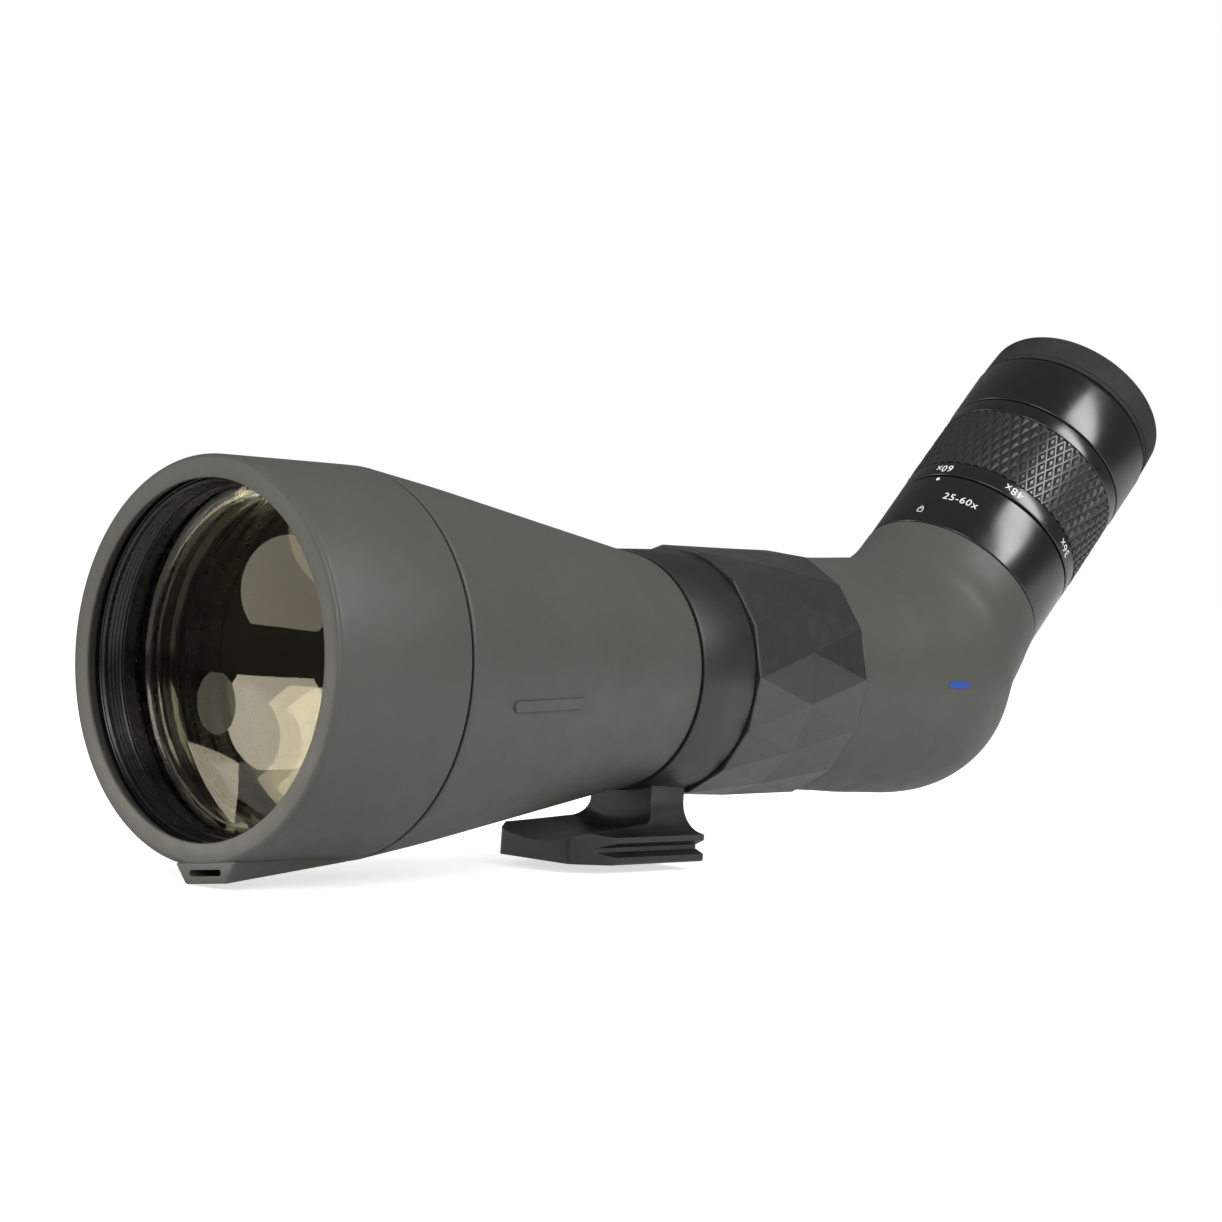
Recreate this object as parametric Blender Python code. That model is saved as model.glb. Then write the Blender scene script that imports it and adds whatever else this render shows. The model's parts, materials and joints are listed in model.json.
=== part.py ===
"""An angled spotting scope with an 85 mm objective and a 25-60x zoom eyepiece.

The origin is the middle of the foot's flat base and +Z is up. The optical axis runs along X at
AXIS_HEIGHT, with the objective towards -X. Outlines are in millimetres along a local +X axis: the
main parts measure x from the hood's front plane, and the eyepiece parts measure it from the point
where the eyepiece's axis leaves the optical axis.
"""

import math

import bmesh
import bpy
from mathutils import Vector

MM = 0.001

# Driving dimensions, in millimetres and degrees.
AXIS_HEIGHT = 50.5
FOOT_MIDDLE = 139.8
BEND_X = 267.2
BEND_ANGLE = 45.0
RUNNING_GAP = 0.35

HOOD_RADIUS = 48.5
HOOD_LENGTH = 41.7
HOOD_BORE = 46.6
HOOD_LIP = 42.75
HOOD_TURN = 7.0
LUG_RISE = 3.9
LUG_LENGTH = 38.0

CELL_FRONT = 4.4
CELL_END = 51.7
CELL_RADIUS = 44.6
CELL_BORE = 43.35
APERTURE = 42.0
GLASS_RADIUS = 43.0

CONE_FRONT = 42.3
CONE_END = 143.2
WALL = 2.0

TUBE_RADIUS = 29.4
TUBE_BORE = 27.0
COLLAR_FRONT = 143.6
COLLAR_END = 163.7
COLLAR_BORE = 30.9

FOOT_FRONT = 116.8
FOOT_END = 162.8
FOOT_HALF_WIDTH = 19.0
FOOT_NOSE_HALF_WIDTH = 12.5
FOOT_SHOULDER = 126.8
NECK_FRONT = 149.5
NECK_HALF_WIDTH = 11.0
LARGE_INSERT_X = 130.5
SMALL_INSERT_X = 152.5
KNOB_X = 153.6

RING_FACETS = 15
RING_FRONT = 164.2
RING_MIDDLE = 187.2
RING_END = 209.8
RING_TURN = math.degrees(0.2166)

GEAR_TEETH = 40
PINION_TEETH = 8
GEAR_PITCH = 30.2
PINION_PITCH = GEAR_PITCH * PINION_TEETH / GEAR_TEETH
SCREW_HEIGHT = GEAR_PITCH - PINION_PITCH
GEAR_FRONT = 196.0
GEAR_END = 203.5
SCREW_RADIUS = 1.2

HOUSING_FRONT = 210.3
HOUSING_WALL = 2.2
HOUSING_END = 36.1

EYE_RADIUS = 29.5
EYE_BARREL = 26.8
EYE_BORE = 24.6
EYE_TOP = 124.5

LARGE = 32
MEDIUM = 24
SMALL = 16


def finish(name):
    """A painted, moulded or machined finish: colour, roughness and metallic value."""
    palette = {
        "body_paint": ((0.125, 0.129, 0.108), 0.55, 0.0),
        "black_anodised": ((0.012, 0.012, 0.013), 0.38, 0.6),
        "black_rubber": ((0.022, 0.022, 0.023), 0.75, 0.0),
        "black_plastic": ((0.015, 0.015, 0.016), 0.5, 0.0),
        "baffle_black": ((0.006, 0.006, 0.006), 0.85, 0.0),
        "coated_glass": ((0.75, 0.74, 0.62), 0.03, 0.0),
        "bare_steel": ((0.55, 0.55, 0.56), 0.3, 1.0),
        "brass": ((0.62, 0.45, 0.18), 0.35, 1.0),
        "felt": ((0.02, 0.02, 0.02), 0.95, 0.0),
    }
    material = bpy.data.materials.get(name)
    if material:
        return material
    colour, roughness, metallic = palette[name]
    material = bpy.data.materials.new(name)
    material.use_nodes = True
    shader = material.node_tree.nodes["Principled BSDF"]
    shader.inputs["Base Color"].default_value = (*colour, 1.0)
    shader.inputs["Roughness"].default_value = roughness
    shader.inputs["Metallic"].default_value = metallic
    if name == "coated_glass":
        shader.inputs["Transmission Weight"].default_value = 1.0
    return material


def add_empty(name, location, turn_y=0.0, parent=None):
    empty = bpy.data.objects.new(name, None)
    empty.empty_display_size = 0.01
    empty.location = Vector(location) * MM
    empty.rotation_euler = (0.0, turn_y, 0.0)
    empty.parent = parent
    bpy.context.scene.collection.objects.link(empty)
    return empty


def add_mesh(name, form, parent, material, sharp=30.0):
    """Closes the bmesh into an object, with its faces pointing out and its round faces smooth."""
    bmesh.ops.remove_doubles(form, verts=form.verts, dist=1e-7)
    bmesh.ops.recalc_face_normals(form, faces=form.faces)
    mesh = bpy.data.meshes.new(name)
    form.to_mesh(mesh)
    form.free()
    mesh.shade_smooth()
    mesh.set_sharp_from_angle(angle=math.radians(sharp))
    mesh.materials.append(finish(material))
    thing = bpy.data.objects.new(name, mesh)
    thing.parent = parent
    bpy.context.scene.collection.objects.link(thing)
    return thing


def turned(name, outline, parent, material, steps=MEDIUM, place=(0.0, 0.0, 0.0)):
    """Spins an outline of (x, radius) points about the X axis through place.

    An outline whose first and last points are on the axis stays open there.
    """
    form = bmesh.new()
    points = [form.verts.new((x * MM, 0.0, radius * MM)) for x, radius in outline]
    pairs = list(zip(points, points[1:] + points[:1]))
    if outline[0][1] == 0.0 and outline[-1][1] == 0.0:
        pairs.pop()
    edges = [form.edges.new(pair) for pair in pairs]
    bmesh.ops.spin(
        form,
        geom=points + edges,
        cent=(0.0, 0.0, 0.0),
        axis=(1.0, 0.0, 0.0),
        angle=math.tau,
        steps=steps,
        use_merge=True,
    )
    thing = add_mesh(name, form, parent, material)
    thing.location = Vector(place) * MM
    return thing


def ring(front, back, bore, radius, chamfer=0.0):
    """The outline of a plain ring, its outer edges chamfered."""
    if not chamfer:
        return [(front, bore), (front, radius), (back, radius), (back, bore)]
    return [
        (front, bore),
        (front, radius - chamfer),
        (front + chamfer, radius),
        (back - chamfer, radius),
        (back, radius - chamfer),
        (back, bore),
    ]


def lens(front, back, radius, front_bulge, back_bulge, zones=3):
    """The outline of a lens: each face rises by its bulge from the rim to the axis."""
    steps = [zone / zones for zone in range(zones + 1)]
    rising = [(front - front_bulge * (1 - step**2), radius * step) for step in steps]
    falling = [(back + back_bulge * (1 - step**2), radius * step) for step in reversed(steps)]
    return rising + falling


def prism(name, outline, low, high, axis, parent, material):
    """Extrudes a flat outline between two heights along axis 'X' (y, z), 'Y' (x, z) or 'Z' (x, y)."""
    place = {
        "X": lambda a, b, h: (h, a, b),
        "Y": lambda a, b, h: (a, h, b),
        "Z": lambda a, b, h: (a, b, h),
    }[axis]
    form = bmesh.new()
    base = [form.verts.new(Vector(place(a, b, low)) * MM) for a, b in outline]
    face = form.faces.new(base)
    travel = Vector(place(0.0, 0.0, high - low)) * MM
    grown = bmesh.ops.extrude_face_region(form, geom=[face])["geom"]
    moved = [item for item in grown if isinstance(item, bmesh.types.BMVert)]
    bmesh.ops.translate(form, verts=moved, vec=travel)
    return add_mesh(name, form, parent, material)


def boolean(target, other, operation):
    """Cuts or joins with a helper object, which stays out of the render."""
    modifier = target.modifiers.new(other.name, "BOOLEAN")
    modifier.operation = operation
    modifier.solver = "EXACT"
    modifier.object = other
    other.hide_render = True
    other.display_type = "WIRE"


def cut(target, *others):
    for other in others:
        boolean(target, other, "DIFFERENCE")


def join(target, *others):
    for other in others:
        boolean(target, other, "UNION")


def arc(centre, radius, start, end, steps):
    """Points along an arc, from the start angle to the end angle in degrees."""
    angles = [math.radians(start + (end - start) * i / steps) for i in range(steps + 1)]
    return [(centre[0] + radius * math.cos(a), centre[1] + radius * math.sin(a)) for a in angles]


def rod(name, front, back, radius, place, parent, material, steps=SMALL, bore=0.0):
    """A shaft along X, or a bush where it has a bore, whose axis passes through place (y, z)."""
    if bore:
        outline = ring(front, back, bore, radius)
    else:
        outline = [(front, 0.0), (front, radius), (back, radius), (back, 0.0)]
    return turned(name, outline, parent, material, steps, (0.0, *place))


def cone_radius(x):
    """The outer radius of the front barrel, which narrows from the hood to the collar."""
    shoulder = 64.7
    if x < shoulder:
        return 48.55 - 0.152 * (x - CONE_FRONT)
    return 45.15 - 0.1735 * (x - shoulder)


# ---------------------------------------------------------------- hood


def make_hood(barrel):
    """The sunshade, which slides forward and turns, with the slotted lug under it."""
    turn = math.radians(-HOOD_TURN)
    shell = turned(
        "hood_shell",
        [
            (0.0, HOOD_LIP + 0.5),
            (0.0, HOOD_RADIUS - 0.8),
            (0.8, HOOD_RADIUS),
            (HOOD_LENGTH - 0.4, HOOD_RADIUS),
            (HOOD_LENGTH, HOOD_RADIUS - 0.4),
            (HOOD_LENGTH, HOOD_BORE),
            (3.1, HOOD_BORE),
            (3.1, HOOD_LIP + 1.0),
            (0.7, HOOD_LIP),
        ],
        barrel,
        "body_paint",
        LARGE,
    )
    shell.rotation_euler = (turn, 0.0, 0.0)
    low = -HOOD_RADIUS - LUG_RISE
    form = bmesh.new()
    front = [form.verts.new(Vector(p) * MM) for p in lug_section(0.0, low)]
    back = [form.verts.new(Vector(p) * MM) for p in lug_section(LUG_LENGTH, -HOOD_RADIUS)]
    for a, b in zip(range(4), (1, 2, 3, 0)):
        form.faces.new((front[a], front[b], back[b], back[a]))
    form.faces.new(front)
    form.faces.new(back)
    lug = add_mesh("lug_form", form, shell, "body_paint")
    slot_high = -HOOD_RADIUS - 0.5
    slot_outline = [(-5.2, slot_high), (5.2, slot_high), (5.7, slot_high - 0.75)]
    slot_outline += [(5.2, slot_high - 1.5), (-5.2, slot_high - 1.5), (-5.7, slot_high - 0.75)]
    slot = prism("slot_form", slot_outline, -1.0, 9.0, "X", shell, "body_paint")
    join(shell, lug)
    cut(shell, slot)
    band = turned(
        "hood_felt_band", ring(38.6, 41.4, 45.0, 46.25), barrel, "felt", LARGE
    )
    band.rotation_euler = (turn, 0.0, 0.0)
    turned("hood_guide_ring", ring(5.8, 8.8, 44.95, 46.25), barrel, "black_plastic", LARGE)


def lug_section(x, low):
    """The lug's section at x: a trapezoid from inside the hood's wall down to its flat base."""
    high = -HOOD_RADIUS + 1.2
    return [(x, -10.6, high), (x, 10.6, high), (x, 7.4, low), (x, -7.4, low)]


# ---------------------------------------------------------------- objective


def make_objective(barrel):
    """The lens cell with its three elements, and the rings that space and hold them."""
    turned(
        "objective_cell",
        [
            (CELL_FRONT, CELL_BORE),
            (CELL_FRONT, CELL_RADIUS - 0.3),
            (CELL_FRONT + 0.3, CELL_RADIUS),
            (CELL_END, CELL_RADIUS),
            (CELL_END, 40.6),
            (40.3, 40.6),
            (40.3, CELL_BORE),
        ],
        barrel,
        "black_anodised",
        LARGE,
    )
    loose = CELL_BORE - 0.3
    turned("filter_ring", ring(CELL_FRONT, 10.1, 42.3, loose), barrel, "black_anodised", LARGE)
    turned("objective_retainer", ring(10.4, 15.9, APERTURE, loose), barrel, "black_anodised", LARGE)
    turned("front_lens", lens(16.3, 21.3, GLASS_RADIUS, 3.4, 1.0), barrel, "coated_glass", LARGE)
    turned("front_spacer", ring(21.6, 23.0, 41.5, GLASS_RADIUS), barrel, "black_anodised")
    turned("middle_lens", lens(23.3, 29.3, GLASS_RADIUS, -1.5, -1.0), barrel, "coated_glass")
    turned("rear_spacer", ring(29.6, 31.0, 41.5, GLASS_RADIUS), barrel, "black_anodised")
    turned("rear_lens", lens(31.3, 36.3, GLASS_RADIUS, 0.5, 1.2), barrel, "coated_glass")
    turned("lens_spring_ring", ring(36.7, 39.9, 41.2, GLASS_RADIUS), barrel, "bare_steel")


# ---------------------------------------------------------------- barrel


def make_barrel(barrel):
    """The tapered front casing, its light baffles and the tube that runs through the collar."""
    stations = (64.7, 87.8, 110.9, 128.0)
    outer = [(CONE_FRONT, 48.1), (CONE_FRONT + 0.4, 48.5)]
    outer += [(x, cone_radius(x)) for x in stations]
    outer += [(138.5, cone_radius(138.5)), (141.5, 31.95), (CONE_END, 31.8)]
    inner = [(CONE_END, TUBE_RADIUS + RUNNING_GAP), (136.0, TUBE_RADIUS + RUNNING_GAP)]
    inner += [(134.0, cone_radius(134.0) - WALL)]
    inner += [(x, cone_radius(x) - WALL) for x in reversed(stations)]
    inner += [(CELL_END + 0.8, 44.4), (CELL_END + 0.4, 45.05), (CONE_FRONT, 45.05)]
    turned("front_barrel", outer + inner, barrel, "body_paint", LARGE)
    for name, x, bore in (("front_baffle", 76.0, 35.0), ("rear_baffle", 106.0, 28.5)):
        outside = cone_radius(x + 1.6) - WALL - 0.3
        edge = [(x, bore + 1.6), (x, outside), (x + 1.6, outside), (x + 1.6, bore)]
        turned(name, edge, barrel, "baffle_black", LARGE)
    tube = turned(
        "centre_tube", ring(136.4, 219.6, TUBE_BORE, TUBE_RADIUS), barrel, "black_anodised", LARGE
    )
    half = 6.2
    window_outline = [(-half, 20.0), (half, 20.0), (half, 32.0), (-half, 32.0)]
    window = prism("window_form", window_outline, 195.2, 204.3, "X", barrel, "baffle_black")
    cut(tube, window)


# ---------------------------------------------------------------- collar and foot


def foot_section():
    """The foot's section across Y and Z: a dovetail base, a neck and the fillets between them."""
    fillet = arc((NECK_HALF_WIDTH + 8.1, -35.0), 8.1, 180.0, 270.0, 5)
    half = [
        (0.0, -AXIS_HEIGHT),
        (FOOT_HALF_WIDTH, -AXIS_HEIGHT),
        (FOOT_HALF_WIDTH, -48.5),
        (16.2, -47.2),
        (16.2, -46.3),
        (FOOT_HALF_WIDTH, -44.9),
    ]
    half += [(min(y, FOOT_HALF_WIDTH), z) for y, z in reversed(fillet)]
    half += [(NECK_HALF_WIDTH, -30.2)]
    return half + [(-y, z) for y, z in reversed(half[1:])]


def make_foot(axis):
    block = prism("foot_form", foot_section(), FOOT_FRONT, FOOT_END, "X", axis, "black_anodised")
    nose = [
        (FOOT_FRONT - 5.0, -FOOT_HALF_WIDTH - 5.0),
        (FOOT_SHOULDER + 1.0, -FOOT_HALF_WIDTH - 5.0),
        (FOOT_SHOULDER + 1.0, -FOOT_HALF_WIDTH - 0.01),
        (FOOT_SHOULDER - 1.2, -FOOT_HALF_WIDTH + 0.55),
        (FOOT_FRONT + 0.6, -FOOT_NOSE_HALF_WIDTH - 0.5),
        (FOOT_FRONT, -FOOT_NOSE_HALF_WIDTH + 0.3),
        (FOOT_FRONT - 5.0, -FOOT_NOSE_HALF_WIDTH + 0.3),
    ]
    for side, name in ((1, "near_nose_form"), (-1, "far_nose_form")):
        outline = [(x, y * side) for x, y in nose]
        cut(block, prism(name, outline, -60.0, -25.0, "Z", axis, "black_anodised"))
    hollow = [(110.0, 0.0), (110.0, 46.0), (FOOT_FRONT, 45.4), (144.0, 42.9)]
    hollow += arc((144.3, 37.7), 5.2, 90.0, 0.0, 4)
    hollow += [(NECK_FRONT, 0.0)]
    cut(block, turned("hollow_form", hollow, axis, "black_anodised", LARGE))
    return block


def make_collar(axis):
    """The collar and foot, one casting, with the bush that the barrel turns in."""
    foot = make_foot(axis)
    collar = turned(
        "mount_collar",
        [
            (COLLAR_FRONT, 30.0),
            (COLLAR_FRONT, 32.2),
            (COLLAR_FRONT + 0.4, 32.6),
            (COLLAR_END - 0.4, 33.1),
            (COLLAR_END, 32.7),
            (COLLAR_END, 30.0),
        ],
        axis,
        "black_anodised",
        LARGE,
    )
    boss = rod("boss_form", 30.2, 38.0, 7.5, (0.0, 0.0), axis, "black_anodised")
    boss.rotation_euler = (0.0, 0.0, math.radians(90.0))
    boss.location = Vector((KNOB_X, 0.0, 0.0)) * MM
    screw_hole = rod("screw_hole_form", 25.0, 45.0, 2.8, (0.0, 0.0), axis, "black_anodised")
    screw_hole.rotation_euler = (0.0, 0.0, math.radians(90.0))
    screw_hole.location = Vector((KNOB_X, 0.0, 0.0)) * MM
    bore = rod("bore_form", 140.0, 170.0, COLLAR_BORE, (0.0, 0.0), axis, "black_anodised", LARGE)
    join(collar, foot, boss)
    cut(collar, bore, screw_hole)
    for name, x, radius in (("large", LARGE_INSERT_X, 6.4), ("small", SMALL_INSERT_X, 4.6)):
        pocket = rod(f"{name}_pocket_form", -52.0, -45.6, radius, (0.0, 0.0), axis, "black_anodised")
        pocket.rotation_euler = (0.0, math.radians(-90.0), 0.0)
        pocket.location = Vector((x, 0.0, 0.0)) * MM
        cut(foot, pocket)
        insert = rod(
            f"{name}_thread_insert",
            -AXIS_HEIGHT + 0.3,
            -46.0,
            radius - 0.3,
            (0.0, 0.0),
            axis,
            "bare_steel",
            SMALL,
            radius * 0.72,
        )
        insert.rotation_euler = (0.0, math.radians(-90.0), 0.0)
        insert.location = Vector((x, 0.0, 0.0)) * MM
    liner = ring(COLLAR_FRONT + 0.4, COLLAR_END - 0.4, TUBE_RADIUS + RUNNING_GAP, 30.5)
    turned("collar_liner", liner, axis, "black_plastic", LARGE)


def make_lock_knob(axis):
    """The knob on the collar's far side that clamps the barrel against turning."""
    place = Vector((KNOB_X, 0.0, 0.0)) * MM
    knob_outline = [(38.5, 2.75), (38.5, 8.2), (39.3, 9.0), (48.2, 9.0), (49.0, 8.2), (49.0, 2.75)]
    knob = turned("lock_knob", knob_outline, axis, "black_rubber", SMALL)
    screw = rod("lock_screw", 31.3, 48.4, 2.4, (0.0, 0.0), axis, "bare_steel", SMALL)
    for thing in (knob, screw):
        thing.rotation_euler = (0.0, 0.0, math.radians(90.0))
        thing.location = place


# ---------------------------------------------------------------- focusing


def facet_ring(x, radius, turn):
    """One row of the faceted grip's corners: RING_FACETS points, turned by half a facet or none."""
    step = math.tau / RING_FACETS
    angles = [math.radians(RING_TURN) + (i + turn) * step for i in range(RING_FACETS)]
    return [(x, -radius * math.cos(a), radius * math.sin(a)) for a in angles]


def make_focus_grip(barrel):
    """The rubber grip: flat triangles between three rows of corners, over a round bore."""
    form = bmesh.new()
    bore = 32.65
    rows = [
        facet_ring(RING_FRONT, bore, 0.5),
        facet_ring(RING_FRONT, 34.2, 0.5),
        facet_ring(RING_FRONT + 0.5, 34.5, 0.5),
        facet_ring(RING_MIDDLE, 34.64, 0.0),
        facet_ring(RING_END - 0.5, 34.98, 0.5),
        facet_ring(RING_END, 34.6, 0.5),
        facet_ring(RING_END, bore, 0.5),
    ]
    corners = [[form.verts.new(Vector(p) * MM) for p in row] for row in rows]
    for low, high in zip(corners, corners[1:] + corners[:1]):
        straight = low is not corners[2] and low is not corners[3]
        for i in range(RING_FACETS):
            after = (i + 1) % RING_FACETS
            if straight:
                form.faces.new((low[i], low[after], high[after], high[i]))
            elif low is corners[2]:
                form.faces.new((low[i], high[i], high[after]))
                form.faces.new((low[i], high[after], low[after]))
            else:
                form.faces.new((low[i], low[after], high[i]))
                form.faces.new((low[after], high[after], high[i]))
    grip = add_mesh("focus_grip", form, barrel, "black_rubber", 1.0)
    hole = rod("grip_bore_form", 160.0, 214.0, bore, (0.0, 0.0), barrel, "black_rubber", LARGE)
    cut(grip, hole)


def gear_outline(teeth, root, tip, pitch, turn, share=0.4):
    """The corners of a gear: teeth that fill a share of the pitch, narrower towards the tip."""
    step = math.tau / teeth
    corners = []
    for i in range(teeth):
        middle = turn + i * step
        for radius, side in ((root, -1), (tip, -1), (tip, 1), (root, 1)):
            narrow = share + 0.5 * abs(root - pitch) / pitch * (1 if radius == root else -1)
            angle = middle + side * step * narrow / 2
            corners.append((radius * math.sin(angle), radius * math.cos(angle)))
    return corners


def make_focus_train(barrel):
    """The ring gear, pinion and lead screw that carry the focusing lens along the axis."""
    carrier = [
        (RING_FRONT + 0.4, 29.9),
        (RING_FRONT + 0.4, 32.2),
        (RING_END - 0.4, 32.2),
        (RING_END - 0.4, 31.6),
        (GEAR_FRONT - 0.4, 31.6),
        (GEAR_FRONT - 0.4, 29.9),
    ]
    turned("focus_carrier", carrier, barrel, "black_anodised", LARGE)
    form = bmesh.new()
    inner = gear_outline(GEAR_TEETH, 30.85, 29.8, GEAR_PITCH, math.pi / GEAR_TEETH)
    outer = [tuple(Vector(point).normalized() * 31.25) for point in inner]
    rows = []
    corners = ((GEAR_FRONT, inner), (GEAR_FRONT, outer), (GEAR_END, outer), (GEAR_END, inner))
    for x, outline in corners:
        rows.append([form.verts.new(Vector((x, y, z)) * MM) for y, z in outline])
    for low, high in zip(rows, rows[1:] + rows[:1]):
        for i in range(len(inner)):
            after = (i + 1) % len(inner)
            form.faces.new((low[i], low[after], high[after], high[i]))
    add_mesh("focus_ring_gear", form, barrel, "brass")

    screw_axis = add_empty("focus_screw_axis", (0.0, 0.0, SCREW_HEIGHT), parent=barrel)
    teeth = gear_outline(PINION_TEETH, PINION_PITCH - 0.65, PINION_PITCH + 0.35, PINION_PITCH, 0.0)
    pinion = prism("focus_pinion", teeth, GEAR_FRONT + 0.3, GEAR_END - 0.3, "X", screw_axis, "brass")
    cut(pinion, rod("pinion_bore_form", 190.0, 210.0, 1.5, (0.0, 0.0), screw_axis, "brass"))
    rod("focus_lead_screw", 158.2, 208.6, SCREW_RADIUS, (0.0, 0.0), screw_axis, "bare_steel", 16)

    for name, x in (("front_screw_bearing", 159.0), ("rear_screw_bearing", 205.2)):
        block = [(-3.2, 20.8), (3.2, 20.8), (3.2, 25.6), (1.6, 26.6), (-1.6, 26.6), (-3.2, 25.6)]
        bearing = prism(name, block, x, x + 2.6, "X", barrel, "brass")
        cut(bearing, rod(f"{name}_form", x - 2, x + 5, 1.5, (0.0, SCREW_HEIGHT), barrel, "brass"))
    rod("focus_guide_rod", 158.2, 208.6, 1.2, (0.0, -SCREW_HEIGHT), barrel, "bare_steel", 16)

    cell = turned("focus_lens_cell", ring(166.0, 175.0, 17.4, 20.4), barrel, "black_anodised")
    for name, height in (("nut_form", SCREW_HEIGHT), ("follower_form", -SCREW_HEIGHT)):
        side = math.copysign(1.0, height)
        web = [(-2.6, 18.9 * side), (2.6, 18.9 * side), (2.6, 24.6 * side), (1.2, 26.6 * side)]
        web += [(-1.2, 26.6 * side), (-2.6, 24.6 * side)]
        join(cell, prism(name, web, 167.0, 174.0, "X", barrel, "black_anodised"))
        cut(cell, rod(f"{name}_bore", 160.0, 180.0, 1.55, (0.0, height), barrel, "brass"))
    turned("focus_lens", lens(167.5, 172.0, 17.0, -0.8, 1.8), barrel, "coated_glass", SMALL)


# ---------------------------------------------------------------- prism housing


def elbow_sections(shrink):
    """The elbow's oval sections, each from its top point to its bottom point, with its half width.

    Their tops stay close together in the crease while their bottoms sweep round the heel.
    """
    sections = (
        ((225.0, 33.4), (225.0, -33.8), 33.6),
        ((240.0, 34.0), (240.0, -34.6), 34.2),
        ((246.5, 34.4), (253.0, -34.9), 34.5),
        ((251.0, 34.8), (266.5, -35.0), 34.9),
        ((254.5, 35.4), (280.5, -32.4), 35.1),
        ((258.2, 36.6), (292.4, -24.5), 34.7),
        ((261.0, 37.6), (299.2, -11.6), 33.2),
    )
    moved = []
    for (top_x, top_z), (bottom_x, bottom_z), half in sections:
        top = Vector((top_x, 0.0, top_z))
        bottom = Vector((bottom_x, 0.0, bottom_z))
        inwards = (bottom - top).normalized() * shrink
        moved.append((top + inwards, bottom - inwards, half - shrink))
    return moved


def section_ring(form, section, steps=LARGE):
    """An oval of points, from its top round one side, its bottom and the other side."""
    top, bottom, half = section
    middle = (top + bottom) / 2
    rise = (top - bottom) / 2
    points = []
    for i in range(steps):
        angle = math.tau * i / steps
        side = Vector((0.0, math.sin(angle) * half, 0.0))
        points.append(form.verts.new((middle + rise * math.cos(angle) + side) * MM))
    return points


def make_housing(barrel):
    """The elbow that holds the prism: one smooth shell, open at the tube and at the eyepiece."""
    root = math.sqrt(0.5)
    across = Vector((root, 0.0, -root))
    along = Vector((root, 0.0, root))
    bend = Vector((BEND_X, 0.0, 0.0))

    def front(x, radius):
        return (Vector((x, 0.0, radius)), Vector((x, 0.0, -radius)), radius)

    def back(s, top, bottom):
        middle = bend + along * s
        return (middle - across * top, middle + across * bottom, (top + bottom) / 2)

    bore = TUBE_RADIUS + RUNNING_GAP
    socket = EYE_BARREL + RUNNING_GAP
    rim = EYE_RADIUS - 0.3
    outer = [front(HOUSING_FRONT, 33.0), front(HOUSING_FRONT + 0.5, 33.3)]
    outer += elbow_sections(0.0)
    outer += [back(25.0, 29.9, 31.2), back(30.5, 29.6, 30.4)]
    outer += [back(HOUSING_END - 0.4, 29.6, 29.6), back(HOUSING_END, rim, rim)]
    inner = [front(HOUSING_FRONT, bore), front(220.0, bore), front(220.6, 31.2)]
    inner += elbow_sections(HOUSING_WALL)[1:]
    inner += [back(23.6, 28.2, 28.6), back(24.2, socket, socket)]
    inner += [back(HOUSING_END, socket, socket)]
    form = bmesh.new()
    rings = [section_ring(form, section) for section in outer + list(reversed(inner))]
    for low, high in zip(rings, rings[1:] + rings[:1]):
        for i in range(len(low)):
            after = (i + 1) % len(low)
            form.faces.new((low[i], low[after], high[after], high[i]))
    add_mesh("prism_housing", form, barrel, "body_paint", 40.0)


def grown(outline, amount):
    """A convex outline moved outwards by an amount, corner by corner."""
    count = len(outline)
    centre = Vector((sum(p[0] for p in outline), sum(p[1] for p in outline))) / count
    moved = []
    for i in range(count):
        before, here, after = (Vector(outline[(i + k) % count]) for k in (-1, 0, 1))
        normals = []
        for start, end in ((before, here), (here, after)):
            edge = (end - start).normalized()
            normal = Vector((edge.y, -edge.x))
            if normal.dot(here - centre) < 0:
                normal = -normal
            normals.append(normal)
        middle = (normals[0] + normals[1]).normalized()
        moved.append(tuple(here + middle * amount / middle.dot(normals[0])))
    return moved


def make_prism(barrel, eyepiece):
    """The roof prism that turns the light by 45 degrees, in an open cage."""
    root = math.sqrt(0.5)
    exit_along = 6.0
    exit_half = 18.0

    def on_exit(offset):
        x = BEND_X + (exit_along + offset) * root
        return (x, (exit_along - offset) * root)

    outline = [(240.0, -19.0), (240.0, 19.0), on_exit(-exit_half), on_exit(exit_half)]
    prism("roof_prism", outline, -16.0, 16.0, "Y", barrel, "coated_glass")
    cage = prism("prism_cage", grown(outline, 1.8), -18.0, 18.0, "Y", barrel, "baffle_black")
    cut(cage, prism("cage_form", grown(outline, 0.35), -16.35, 16.35, "Y", barrel, "baffle_black"))
    cut(cage, rod("entry_form", 230.0, 250.0, 15.0, (0.0, 0.0), barrel, "baffle_black"))
    cut(cage, rod("exit_form", 0.0, 20.0, 15.0, (0.0, 0.0), eyepiece, "baffle_black"))


# ---------------------------------------------------------------- eyepiece


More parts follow.
